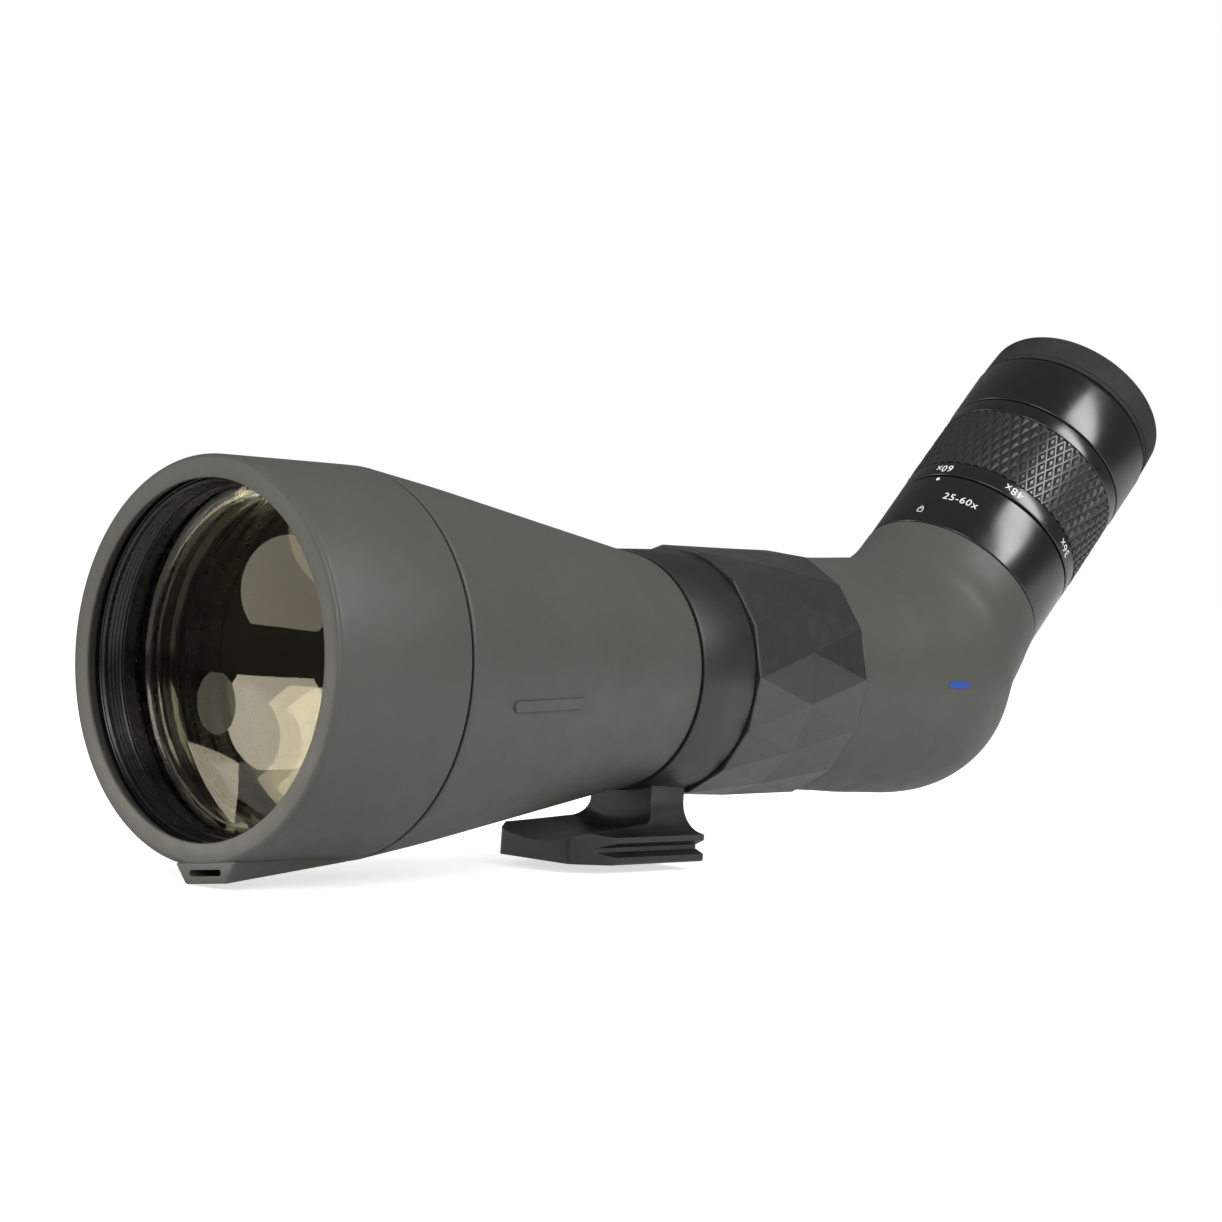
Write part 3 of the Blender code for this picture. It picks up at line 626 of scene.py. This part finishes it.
def build_casing():
    """The tapered casing, with a slight crown, and a plain raised bar on its near side."""
    start = CONE_FRONT + 0.15
    outer = [(start, 48.0)] + arc((start + 0.3, 48.16), 0.3, 180.0, 95.0, 3)
    outer += [(x, cone_radius(x)) for x in (44.0, 50.0, 56.0, 61.0)]
    outer += [(63.5, cone_radius(63.5) - 0.03), (66.0, cone_radius(66.0) - 0.03)]
    outer += [(x, cone_radius(x)) for x in (70.0, 80.0, 92.0, 104.0, 116.0, 126.0, 134.0)]
    outer += [(137.5, 32.55), (140.0, 32.15), (142.0, 31.9), (142.9, 31.75), (CONE_END, 31.5)]
    inner = [(CONE_END, 29.75), (136.0, 29.75), (133.0, 31.3), (110.0, 35.2), (64.7, 43.0)]
    inner += [(52.4, 44.8), (52.0, 45.05), (start, 45.05)]
    casing = lathe("front_casing", outer + inner, MAIN, FINEST)
    turn = math.radians(-9.0)
    facing = Vector((0.0, -math.cos(turn), math.sin(turn)))
    across = Vector((0.0, math.sin(turn), math.cos(turn)))
    middle = MAIN @ Vector((74.5, 0.0, 0.0)) + facing * 44.0 * MM
    loop = pill(middle, Vector((1.0, 0.0, 0.0)), across, 30.0, 2.6)
    bar = sheet_on("casing_relief_bar", casing, loop, 0.0006, 0.0003, -facing)
    dress(casing, "body_paint", "barrel", ["front_barrel"])
    dress(bar, "body_paint", "barrel")


# ---------------------------------------------------------------- collar and foot


def foot_section():
    """The closed (y, z) outline across the neck and the foot."""
    fillet = arc((NECK_HALF + 8.1, -35.0), 8.1, 180.0, 270.0, 12)
    half = [
        (0.0, -FOOT_DEPTH),
        (18.7, -FOOT_DEPTH),
        (FOOT_HALF, -50.1),
        (FOOT_HALF, -48.6),
        (18.9, -48.4),
        (16.2, -47.3),
        (16.2, -46.2),
        (18.9, -44.9),
        (FOOT_HALF, -44.7),
        (FOOT_HALF, -43.3),
    ]
    half += [(y, z) for y, z in reversed(fillet[:-1])]
    half += [(NECK_HALF, -30.2)]
    return half + [(-y, z) for y, z in reversed(half[1:])]


def socket_place(x):
    """Where a turned piece stands upright under the axis, its +X pointing up."""
    return MAIN @ Matrix.Translation((x, 0.0, 0.0)) @ Matrix.Rotation(math.radians(-90.0), 4, "Y")


def build_foot():
    """The neck and the dovetail foot, its front corners cut back and its two sockets open."""
    block = extruded("foot", foot_section(), *FOOT_ENDS, MAIN)
    cutters = []
    for side in (1, -1):
        nose = [
            (111.0, 25.0 * side),
            (128.5, 25.0 * side),
            (128.5, (FOOT_HALF + 0.01) * side),
            (127.2, 18.9 * side),
            (126.0, 18.4 * side),
            (117.6, 13.2 * side),
            (117.0, 12.3 * side),
            (116.7, 11.2 * side),
            (111.0, 11.2 * side),
        ]
        form = bmesh.new()
        base = [form.verts.new((x, y, -60.0)) for x, y in nose]
        top = [form.verts.new((x, y, -25.0)) for x, y in nose]
        form.faces.new(base)
        form.faces.new(top)
        walls(form, base, top)
        cutters.append(new_piece("nose", form, MAIN))
    hollow = [(110.0, 0.0), (110.0, 46.0), (116.8, 45.4), (144.0, 42.9)]
    hollow += arc((144.3, 37.7), 5.2, 90.0, 0.0, 10) + [(149.5, 0.0)]
    cutters.append(lathe("hollow", hollow, MAIN, FINEST))
    for x, radius in ((LARGE_SOCKET_X, 6.4), (SMALL_SOCKET_X, 4.6)):
        pocket = [(-52.0, 0.0), (-52.0, radius), (-45.6, radius), (-45.6, 0.0)]
        cutters.append(lathe("pocket", pocket, socket_place(x), COARSE))
    return combine(block, cutters, "DIFFERENCE")


def build_collar():
    """The collar, its foot and the clamp boss as one casting, and the two thread inserts."""
    outline = [(143.6, 30.0)] + arc((144.0, 32.1), 0.4, 180.0, 95.0, 4)
    outline += arc((163.3, 32.7), 0.4, 90.0, 0.0, 4) + [(163.7, 30.0)]
    collar = lathe("mount_collar_casting", outline, MAIN, FINEST)
    turn = Matrix.Rotation(math.radians(90.0), 4, "Z")
    sideways = MAIN @ Matrix.Translation((KNOB_X, 0.0, 0.0)) @ turn
    boss_outline = [(30.2, 0.0), (30.2, 7.5), (37.4, 7.5), (38.0, 6.9), (38.0, 0.0)]
    boss = lathe("boss", boss_outline, sideways, COARSE)
    hole = lathe("hole", [(25.0, 0.0), (25.0, 2.8), (45.0, 2.8), (45.0, 0.0)], sideways, 48)
    bore_outline = [(140.0, 0.0), (140.0, COLLAR_BORE), (170.0, COLLAR_BORE), (170.0, 0.0)]
    bore = lathe("bore", bore_outline, MAIN, FINEST)
    combine(collar, [build_foot(), boss], "UNION")
    combine(collar, [bore, hole], "DIFFERENCE")
    dress(collar, "foot_black", "mount", ["mount_collar"])
    inserts = (
        ("large_thread_insert", LARGE_SOCKET_X, 6.1),
        ("small_thread_insert", SMALL_SOCKET_X, 4.3),
    )
    for node, x, radius in inserts:
        crest = (radius + 0.3) * 0.72
        outline = [(-50.2, crest + 0.5), (-50.2, radius - 0.2), (-50.0, radius)]
        outline += [(-46.0, radius), (-46.0, crest)] + threads(-49.8, -46.2, crest, 0.4, 0.9)
        insert = lathe(node + "_piece", outline, socket_place(x), COARSE)
        dress(insert, "bare_steel", "mount", [node])


def build_knob():
    """The fluted clamp knob on the far side of the collar, with a bore for its screw."""
    flutes = 18
    form = bmesh.new()
    rows = []
    for y, scale in ((38.5, 0.93), (39.2, 1.0), (48.2, 1.0), (49.0, 0.93)):
        row = []
        for i in range(flutes * 6):
            angle = math.tau * i / (flutes * 6)
            radius = (8.7 + 0.3 * math.cos(flutes * angle)) * scale
            row.append(form.verts.new((radius * math.cos(angle), y, radius * math.sin(angle))))
        rows.append(row)
    inner = []
    for y in (49.0, 38.5):
        angles = [math.tau * i / (flutes * 6) for i in range(flutes * 6)]
        inner.append([form.verts.new((2.75 * math.cos(a), y, 2.75 * math.sin(a))) for a in angles])
    rows += inner
    for low, high in zip(rows, rows[1:] + rows[:1]):
        walls(form, low, high)
    place = MAIN @ Matrix.Translation((KNOB_X, 0.0, 0.0))
    dress(new_piece("lock_knob_grip", form, place), "grip_rubber", "lock_knob", ["lock_knob"])


# ---------------------------------------------------------------- focus ring


def build_focus_grip():
    """The faceted rubber grip: three rows of corners joined by flat triangles."""
    half_step = math.pi / FACETS

    def row(x, radius, turned):
        angles = [FACET_TURN + (2 * i + turned) * half_step for i in range(FACETS)]
        return [(x, -radius * math.cos(a), radius * math.sin(a)) for a in angles]

    form = bmesh.new()
    rows = [
        row(164.2, 31.0, 1),
        row(164.2, 34.25, 1),
        row(164.5, 34.55, 1),
        row(187.2, 34.64, 0),
        row(209.5, 35.0, 1),
        row(209.8, 34.7, 1),
        row(209.8, 31.0, 1),
    ]
    corners = [[form.verts.new(p) for p in points] for points in rows]
    for index, (low, high) in enumerate(zip(corners, corners[1:] + corners[:1])):
        for i in range(FACETS):
            after = (i + 1) % FACETS
            if index == 2:
                form.faces.new((low[i], high[i], high[after]))
                form.faces.new((low[i], high[after], low[after]))
            elif index == 3:
                form.faces.new((low[i], low[after], high[i]))
                form.faces.new((low[after], high[after], high[i]))
            else:
                form.faces.new((low[i], low[after], high[after], high[i]))
    grip = new_piece("faceted_focus_grip", form, MAIN, 1.0)
    soften(grip, 0.10, 4.0, 2)
    bore_outline = [(160.0, 0.0), (160.0, 32.6), (214.0, 32.6), (214.0, 0.0)]
    bore = lathe("grip_bore", bore_outline, MAIN, FINE)
    combine(grip, [bore], "DIFFERENCE")
    grip.data.shade_flat()
    dress(grip, "focus_rubber", "focus_ring", ["focus_grip"])


# ---------------------------------------------------------------- prism housing


def spline(points, per_span):
    """A natural cubic spline through rows of values, spaced by how far the rows lie apart."""
    points = np.asarray(points, float)
    count = len(points)
    step = np.linalg.norm(np.diff(points, axis=0), axis=2).mean(axis=1)
    t = np.concatenate([[0.0], np.cumsum(step)])
    flat = points.reshape(count, -1)
    h = np.diff(t)
    matrix = np.eye(count)
    right = np.zeros_like(flat)
    for i in range(1, count - 1):
        matrix[i, i - 1 : i + 2] = (h[i - 1], 2 * (h[i - 1] + h[i]), h[i])
        right[i] = 6 * ((flat[i + 1] - flat[i]) / h[i] - (flat[i] - flat[i - 1]) / h[i - 1])
    bend = np.linalg.solve(matrix, right)
    rows = []
    for i in range(count - 1):
        last = i == count - 2
        for u in np.linspace(0.0, 1.0, per_span + last, endpoint=last):
            a, b = (1 - u) * h[i], u * h[i]
            value = (bend[i] * a**3 + bend[i + 1] * b**3) / (6 * h[i])
            value += (flat[i] / h[i] - bend[i] * h[i] / 6) * a
            value += (flat[i + 1] / h[i] - bend[i + 1] * h[i] / 6) * b
            rows.append(value.reshape(points.shape[1:]))
    return rows


# The elbow's oval sections: top point (x, z), bottom point (x, z) and half width.
ELBOW_SECTIONS = (
    ((210.8, 33.3), (210.8, -33.3), 33.3),
    ((218.0, 33.35), (218.0, -33.55), 33.45),
    ((226.0, 33.5), (226.0, -33.85), 33.65),
    ((234.0, 33.8), (234.0, -34.25), 33.95),
    ((240.0, 34.1), (241.5, -34.65), 34.2),
    ((245.5, 34.35), (253.0, -34.9), 34.5),
    ((249.9, 34.6), (266.5, -35.0), 34.8),
    ((253.0, 34.8), (277.0, -33.4), 34.9),
    ((256.1, 35.4), (286.5, -29.4), 34.6),
    ((259.1, 36.4), (293.7, -22.8), 33.8),
    ((261.9, 37.8), (299.0, -12.6), 32.6),
    ((264.5, 39.6), (303.3, -7.9), 31.3),
    ((266.9, 41.6), (308.1, -2.8), 30.3),
)
HOUSING_WALL = 2.2


def oval(top, bottom, half, steps=128):
    """A ring of points, from the oval's top round one side, its bottom and the other side."""
    top, bottom = Vector(top), Vector(bottom)
    middle = (top + bottom) / 2.0
    rise = (top - bottom) / 2.0
    points = []
    for i in range(steps):
        angle = math.tau * i / steps
        side = Vector((0.0, math.sin(angle) * half, 0.0))
        points.append(tuple(middle + rise * math.cos(angle) + side))
    return points


def build_housing():
    """The elbow, its sections square to each axis at the ends and leaning between them."""
    across = Vector((ROOT_HALF, 0.0, -ROOT_HALF))
    along = Vector((ROOT_HALF, 0.0, ROOT_HALF))
    bend = Vector(((BEND.x - HOOD_FRONT_X) / MM, 0.0, 0.0))

    def straight(x, radius):
        return oval((x, 0.0, radius), (x, 0.0, -radius), radius)

    def slanted(s, top, bottom=None):
        bottom = bottom or top
        middle = bend + along * s
        return oval(middle - across * top, middle + across * bottom, (top + bottom) / 2.0)

    stations = []
    inside = []
    for (top_x, top_z), (bottom_x, bottom_z), half in ELBOW_SECTIONS:
        top = Vector((top_x, 0.0, top_z))
        bottom = Vector((bottom_x, 0.0, bottom_z))
        inwards = (bottom - top).normalized() * HOUSING_WALL
        stations.append(oval(top, bottom, half))
        inside.append(oval(top + inwards, bottom - inwards, half - HOUSING_WALL))
    stations += [slanted(32.5, 29.6, 30.0), slanted(35.7, 29.6)]
    rows = [straight(210.3, 32.7), straight(210.4, 33.1)] + spline(stations, 7)
    rows += [slanted(36.0, EYE_RADIUS), slanted(36.1, EYE_RADIUS - 0.3), slanted(36.1, 27.3)]
    rows += [slanted(24.6, 27.3), slanted(24.0, 28.4)] + list(reversed(inside[2:-2]))
    rows += [straight(220.6, 31.2), straight(220.0, 29.8), straight(210.3, 29.8)]
    form = bmesh.new()
    rings = [[form.verts.new(point) for point in row] for row in rows]
    for low, high in zip(rings, rings[1:] + rings[:1]):
        walls(form, low, high)
    housing = new_piece("prism_housing_shell", form, MAIN, 35.0)
    loop = pill(MAIN @ Vector((253.7, -40.0, -0.6)), Vector((1.0, 0.0, 0.0)), UP, 9.0, 2.2)
    mark = sheet_on("blue_mark", housing, loop, 0.00012, 0.0003, Vector((0.0, 1.0, 0.0)))
    dress(housing, "body_paint", "barrel", ["prism_housing"])
    dress(mark, "blue_enamel", "barrel", ())


# ---------------------------------------------------------------- eyepiece


def build_eyepiece_rings():
    """The index ring, scale ring, seat ring, eyecup sleeve and rubber rim."""
    index = [(36.5, 27.3)] + arc((36.75, 29.2), 0.25, 180.0, 90.0, 3)
    index += [(56.3, EYE_RADIUS), (57.05, 28.95), (57.05, 27.3), (56.9, 27.15), (36.65, 27.15)]
    scale = tube(57.4, 62.85, 28.5, EYE_RADIUS + 0.05)
    seat = tube(87.4, 92.4, 27.15, 29.65)
    sleeve = [(92.8, 27.9)] + arc((93.1, 29.55), 0.3, 180.0, 90.0, 4)
    sleeve += [(110.9, 29.9), (111.6, 29.75), (112.8, 28.95), (113.05, 28.7), (113.05, 27.75)]
    sleeve += [(92.95, 27.75)]
    black_rings = (
        ("index_ring_piece", index, "barrel", "index_ring"),
        ("zoom_scale_band", scale, "zoom_ring", "zoom_scale_ring"),
        ("seat_band", seat, "barrel", "seat_ring"),
        ("eyecup_sleeve_piece", sleeve, "eyecup", "eyecup_sleeve"),
    )
    for name, outline, body, node in black_rings:
        dress(lathe(name, outline, EYE), "eyepiece_black", body, [node])
    rubber = [(113.4, 22.9), (113.4, 28.9), (113.7, 29.15), (114.6, 29.15), (114.8, 29.5)]
    rubber += [(115.3, 29.6), (119.0, 29.45), (121.5, 29.3)]
    rubber += arc((122.2, 27.0), 2.3, 78.0, 0.0, 7) + arc((122.3, 25.0), 2.2, 0.0, -85.0, 6)
    rubber += [(119.0, 22.1)]
    rim = lathe("eyecup_rim", rubber, EYE, FINE, 40.0)
    dress(rim, "eyecup_rubber", "eyecup", ["eyecup_rubber"])


def build_eye_end():
    """The glass and its retainer, which show inside the eyecup."""
    outline = lens_outline(103.0, 109.0, 17.0, 0.6, 1.8)
    glass = lathe("eye_glass", outline, EYE, MEDIUM, 50.0)
    dress(glass, "coated_glass", "barrel", ["eye_lens"])
    blacken_rim(glass, EYE_AXIS)
    retainer = [(111.0, 15.7), (111.0, 17.1), (113.2, 17.1), (113.4, 16.9), (113.4, 16.2)]
    retainer += [(111.6, 15.6)]
    ring = lathe("eye_retaining_ring", retainer, EYE, MEDIUM)
    dress(ring, "black_anodised", "barrel", ["eye_lens_retainer"])


def build_knurl():
    """The zoom grip: tall diamond points with blunt tops, on narrow flat valleys."""
    around, rows = 59, 7
    front, back = 63.1, 87.1
    base, tip, bore = 29.2, 29.72, 28.5
    floor_share, top_share = 0.86, 0.30
    step = math.tau / (2 * around)
    pitch = (back - front) / rows
    form = bmesh.new()

    def point(i, j, radius):
        angle = i * step
        place = (front + j * pitch, radius * math.cos(angle), radius * math.sin(angle))
        return form.verts.new(place)

    low = {}
    for j in range(rows + 1):
        for i in range(2 * around):
            if (i + j) % 2 == 0:
                low[i, j] = point(i, j, base)
    for j in range(rows + 1):
        for i in range(2 * around):
            if (i + j) % 2 == 0:
                continue
            beside = ((-1, 0), (0, -1), (1, 0), (0, 1))
            sides = [(a, b) for a, b in beside if 0 <= j + b <= rows]
            corners = [low[(i + a) % (2 * around), j + b] for a, b in sides]
            floor = [point(i + floor_share * a, j + floor_share * b, base) for a, b in sides]
            top = [point(i + top_share * a, j + top_share * b, tip) for a, b in sides]
            form.faces.new(top)
            open_side = len(sides) == 3
            for k in range(len(sides)):
                after = (k + 1) % len(sides)
                if open_side and sides[k][1] == 0 and sides[after][1] == 0:
                    end = (corners[k], floor[k], top[k], top[after], floor[after], corners[after])
                    form.faces.new(end)
                    continue
                form.faces.new((corners[k], corners[after], floor[after], floor[k]))
                form.faces.new((floor[k], floor[after], top[after], top[k]))
    ends = []
    for j in (0, rows):
        ring = [low[i, j] for i in range(2 * around) if (i, j) in low]
        inner = [form.verts.new((v.co.x, *(Vector(v.co.yz).normalized() * bore))) for v in ring]
        ends.append(inner)
        walls(form, ring, inner)
    walls(form, *ends)
    knurl = new_piece("knurled_zoom_grip", form, EYE, 12.0)
    dress(knurl, "knurled_grip", "zoom_ring", ["zoom_grip"])


# ---------------------------------------------------------------- printed marks


def wrapped_text(name, words, size, s, angle, radius, upright):
    """Flat lettering wrapped round the eyepiece: angle 0 faces -Y, and 90 is the crest."""
    curve = bpy.data.curves.new(name, "FONT")
    curve.body = words
    curve.size = size
    curve.align_x = "CENTER"
    curve.align_y = "CENTER"
    curve.space_character = 1.12
    curve.resolution_u = 4
    helper = bpy.data.objects.new(name, curve)
    bpy.context.scene.collection.objects.link(helper)
    bpy.context.view_layer.update()
    graph = bpy.context.evaluated_depsgraph_get()
    mesh = bpy.data.meshes.new_from_object(helper.evaluated_get(graph))
    bpy.data.objects.remove(helper, do_unlink=True)
    form = bmesh.new()
    form.from_mesh(mesh)
    bmesh.ops.remove_doubles(form, verts=form.verts, dist=1e-4)
    return wrapped(name, form, s, angle, radius, upright)


def wrapped(name, form, s, angle, radius, upright):
    """Bends a flat drawing in X and Y round the eyepiece and gives it the thickness of ink."""
    bmesh.ops.triangulate(form, faces=form.faces)
    long_edges = [edge for edge in form.edges if edge.calc_length() > 0.5]
    bmesh.ops.subdivide_edges(form, edges=long_edges, cuts=2)
    bmesh.ops.triangulate(form, faces=form.faces)
    thick = bmesh.ops.extrude_face_region(form, geom=list(form.faces))["geom"]
    raised = {item for item in thick if isinstance(item, bmesh.types.BMVert)}
    flip = 1.0 if upright else -1.0
    for vert in form.verts:
        height = 0.07 if vert in raised else -0.08
        place = math.radians(angle) - flip * vert.co.x / radius
        out = radius + height
        vert.co = (s + flip * vert.co.y, -out * math.cos(place), out * math.sin(place))
    return new_piece(name, form, EYE, 40.0)


def stroke(form, points, width, closed=False):
    """Draws a flat line of the given width along the points."""
    count = len(points)
    rows = []
    for i, (x, y) in enumerate(points):
        before = points[i - 1] if closed or i > 0 else points[i]
        after = points[(i + 1) % count] if closed or i < count - 1 else points[i]
        along = Vector((after[0] - before[0], after[1] - before[1])).normalized()
        side = Vector((-along.y, along.x)) * width / 2.0
        rows.append([form.verts.new((x + k * side.x, y + k * side.y, 0.0)) for k in (-1.0, 1.0)])
    for i in range(count if closed else count - 1):
        low, high = rows[i], rows[(i + 1) % count]
        form.faces.new((low[0], high[0], high[1], low[1]))


def padlock():
    """A plain padlock sign: a rounded case under a round shackle."""
    form = bmesh.new()
    corners = ((0.55, 0.3), (-0.55, 0.3), (-0.55, -0.5), (0.55, -0.5))
    case = []
    for quarter, corner in enumerate(corners):
        case += arc(corner, 0.35, 90.0 * quarter, 90.0 * (quarter + 1), 4)
    stroke(form, case, 0.22, True)
    stroke(form, arc((0.0, 0.95), 0.55, -20.0, 200.0, 10), 0.2)
    return form


def build_marks():
    """The zoom numerals, the zoom range, the padlock sign and the index dot."""
    for words, angle in (("60x", 92.0), ("48x", 45.0), ("36x", -3.5), ("25x", -48.0)):
        mark = wrapped_text("numeral_" + words, words, 3.9, 60.1, angle, EYE_RADIUS + 0.05, False)
        dress(mark, "white_print", "zoom_ring", ())
    dot = bmesh.new()
    bmesh.ops.create_circle(dot, cap_ends=True, segments=20, radius=0.62)
    barrel_marks = (
        wrapped_text("magnification_range", "25-60x", 3.7, 48.3, 69.0, EYE_RADIUS, True),
        wrapped("lock_sign", padlock(), 41.4, 89.0, EYE_RADIUS, True),
        wrapped("index_dot", dot, 55.2, 91.5, EYE_RADIUS - 0.02, True),
    )
    for mark in barrel_marks:
        dress(mark, "white_print", "barrel", ())


# ---------------------------------------------------------------- CAD nodes that stay


def paint_frame():
    """Every carried-over CAD node takes the full material of its slot."""
    slots = {part["node"]: part["material_slot"] for part in frame["record"]["subparts"]}
    for name, node in NODES.items():
        node.data.materials.clear()
        node.data.materials.append(PAINTS[slots[name]])
        smooth(node.data, 30.0)


# ---------------------------------------------------------------- stage, lights, camera


def add_background(tree, strength):
    """A white background of the given strength in a world's node tree."""
    background = tree.nodes.new("ShaderNodeBackground")
    background.inputs["Color"].default_value = (1.0, 1.0, 1.0, 1.0)
    background.inputs["Strength"].default_value = strength
    return background.outputs["Background"]


def build_stage():
    """A pale seamless floor, and a white surround that lights the object softly.

    The floor glows for the camera alone and throws no diffuse light, so that it stays white without
    lighting the object from below.
    """
    floor_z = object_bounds()[0][2] - FLOOR_GAP
    form = bmesh.new()
    bmesh.ops.create_grid(form, x_segments=1, y_segments=1, size=60.0)
    floor = linked_object("pale_floor", form)
    floor.location = (0.0, 0.0, floor_z)
    paint = Paint("pale_floor", (0.86, 0.86, 0.86), 0.9)
    paint.shader.inputs["Specular IOR Level"].default_value = 0.1
    paint.shader.inputs["Emission Color"].default_value = (1.0, 1.0, 1.0, 1.0)
    seen = paint.node("ShaderNodeLightPath")
    shown = paint.node("ShaderNodeMath")
    shown.operation = "MULTIPLY"
    shown.inputs[1].default_value = FLOOR_GLOW
    paint.link(seen.outputs["Is Camera Ray"], shown.inputs[0])
    paint.link(shown.outputs["Value"], paint.shader.inputs["Emission Strength"])
    floor.visible_diffuse = False
    floor.data.materials.append(paint.material)
    floor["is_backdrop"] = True

    world = bpy.data.worlds.new("studio")
    bpy.context.scene.world = world
    world.use_nodes = True
    tree = world.node_tree
    tree.nodes.clear()
    path = tree.nodes.new("ShaderNodeLightPath")
    shader = add_background(tree, FILL_STRENGTH)
    for ray, strength in (
        ("Is Glossy Ray", GLOSS_STRENGTH),
        ("Is Transmission Ray", GLOSS_STRENGTH),
        ("Is Camera Ray", 1.0),
    ):
        mix = tree.nodes.new("ShaderNodeMixShader")
        tree.links.new(path.outputs[ray], mix.inputs["Fac"])
        tree.links.new(shader, mix.inputs[1])
        tree.links.new(add_background(tree, strength), mix.inputs[2])
        shader = mix.outputs["Shader"]
    output = tree.nodes.new("ShaderNodeOutputWorld")
    tree.links.new(shader, output.inputs["Surface"])


def add_light(name, place, aim, width, height, power):
    """An area light aimed at a point, its size in metres and its power in watts."""
    data = bpy.data.lights.new(name, "AREA")
    data.shape = "RECTANGLE"
    data.size = width
    data.size_y = height
    data.energy = power
    light = bpy.data.objects.new(name, data)
    light.location = place
    light.rotation_euler = (Vector(aim) - Vector(place)).to_track_quat("-Z", "Y").to_euler()
    bpy.context.scene.collection.objects.link(light)
    return light


def add_reflection_card(name, azimuth, elevation, distance, size, glow):
    """A round card facing the objective: a studio's flag or reflector, at a distance in metres.

    Azimuth and elevation are in degrees, and size is (width, height) in metres. Only gloss and
    transmission rays meet it, so it shows in the glass and lights nothing.
    """
    lens = MAIN @ Vector((14.0, 0.0, 0.0))
    turn, rise = math.radians(azimuth), math.radians(elevation)
    level = math.cos(rise)
    away = Vector((math.cos(turn) * level, math.sin(turn) * level, math.sin(rise)))
    form = bmesh.new()
    bmesh.ops.create_circle(form, cap_ends=True, segments=64, radius=0.5)
    card = linked_object(name, form)
    card.scale = (*size, 1.0)
    card.location = lens + away * distance
    card.rotation_euler = (-away).to_track_quat("Z", "Y").to_euler()
    for ray in ("camera", "diffuse", "volume_scatter", "shadow"):
        setattr(card, "visible_" + ray, False)
    paint = Paint(name, (0.0, 0.0, 0.0), 1.0)
    paint.shader.inputs["Specular IOR Level"].default_value = 0.0
    paint.shader.inputs["Emission Color"].default_value = (1.0, 0.95, 0.84, 1.0)
    paint.shader.inputs["Emission Strength"].default_value = glow
    card.data.materials.append(paint.material)
    card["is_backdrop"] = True


def build_lights():
    """The cards that the objective mirrors, three softboxes and a strip on the far side."""
    middle = (0.0, 0.0, AXIS_Z)
    add_reflection_card("black_flag", 132.0, 0.0, 0.15, (0.28, 0.28), 0.0)
    add_reflection_card("dark_band", 138.0, 0.0, 0.125, (0.25, 0.022), 0.04)
    add_reflection_card("upper_reflector", 141.5, 12.0, 0.137, (0.062, 0.05), 2.4)
    add_reflection_card("lower_reflector", 140.0, -12.0, 0.137, (0.064, 0.054), 5.6)
    add_reflection_card("side_reflector", 124.0, -10.0, 0.137, (0.025, 0.027), 0.9)
    add_light("key_softbox", (0.36, -1.15, 0.98), middle, 0.5, 0.9, 13.5)
    add_light("front_softbox", (-1.5, -0.55, 0.8), middle, 0.9, 0.9, 15.5)
    top = add_light("top_softbox", (0.0, 0.2, 1.5), middle, 1.3, 1.0, 5.0)
    top.visible_glossy = False
    add_light("left_strip", (-0.9, 1.0, 0.45), middle, 0.35, 0.9, 4.0)


def build_camera():
    """The camera that fits the object's circles: a long lens, low, at the objective's near side."""
    level = math.cos(CAMERA_RISE)
    sideways = math.sin(CAMERA_HEADING) * level
    nearwards = -math.cos(CAMERA_HEADING) * level
    back = Vector((sideways, nearwards, math.sin(CAMERA_RISE)))
    right = (-back).cross(UP).normalized()
    up = right.cross(-back)
    tilted_right = right * math.cos(CAMERA_ROLL) + up * math.sin(CAMERA_ROLL)
    tilted_up = up * math.cos(CAMERA_ROLL) - right * math.sin(CAMERA_ROLL)
    data = bpy.data.cameras.new("camera")
    data.sensor_width = 36.0
    data.lens = CAMERA_FOCAL
    data.clip_start = 0.02
    camera = bpy.data.objects.new("camera", data)
    turn = Matrix((tilted_right, tilted_up, back)).transposed().to_4x4()
    place = MAIN @ Vector(CAMERA_PLACE)
    camera.matrix_world = Matrix.Translation(place) @ turn
    bpy.context.scene.collection.objects.link(camera)
    bpy.context.scene.camera = camera
    bpy.context.scene.view_settings.view_transform = "Standard"


build_camera()
build_lights()
paint_frame()
build_hood()
build_objective()
build_casing()
build_collar()
build_knob()
build_focus_grip()
build_housing()
build_eyepiece_rings()
build_eye_end()
build_knurl()
build_marks()
build_stage()
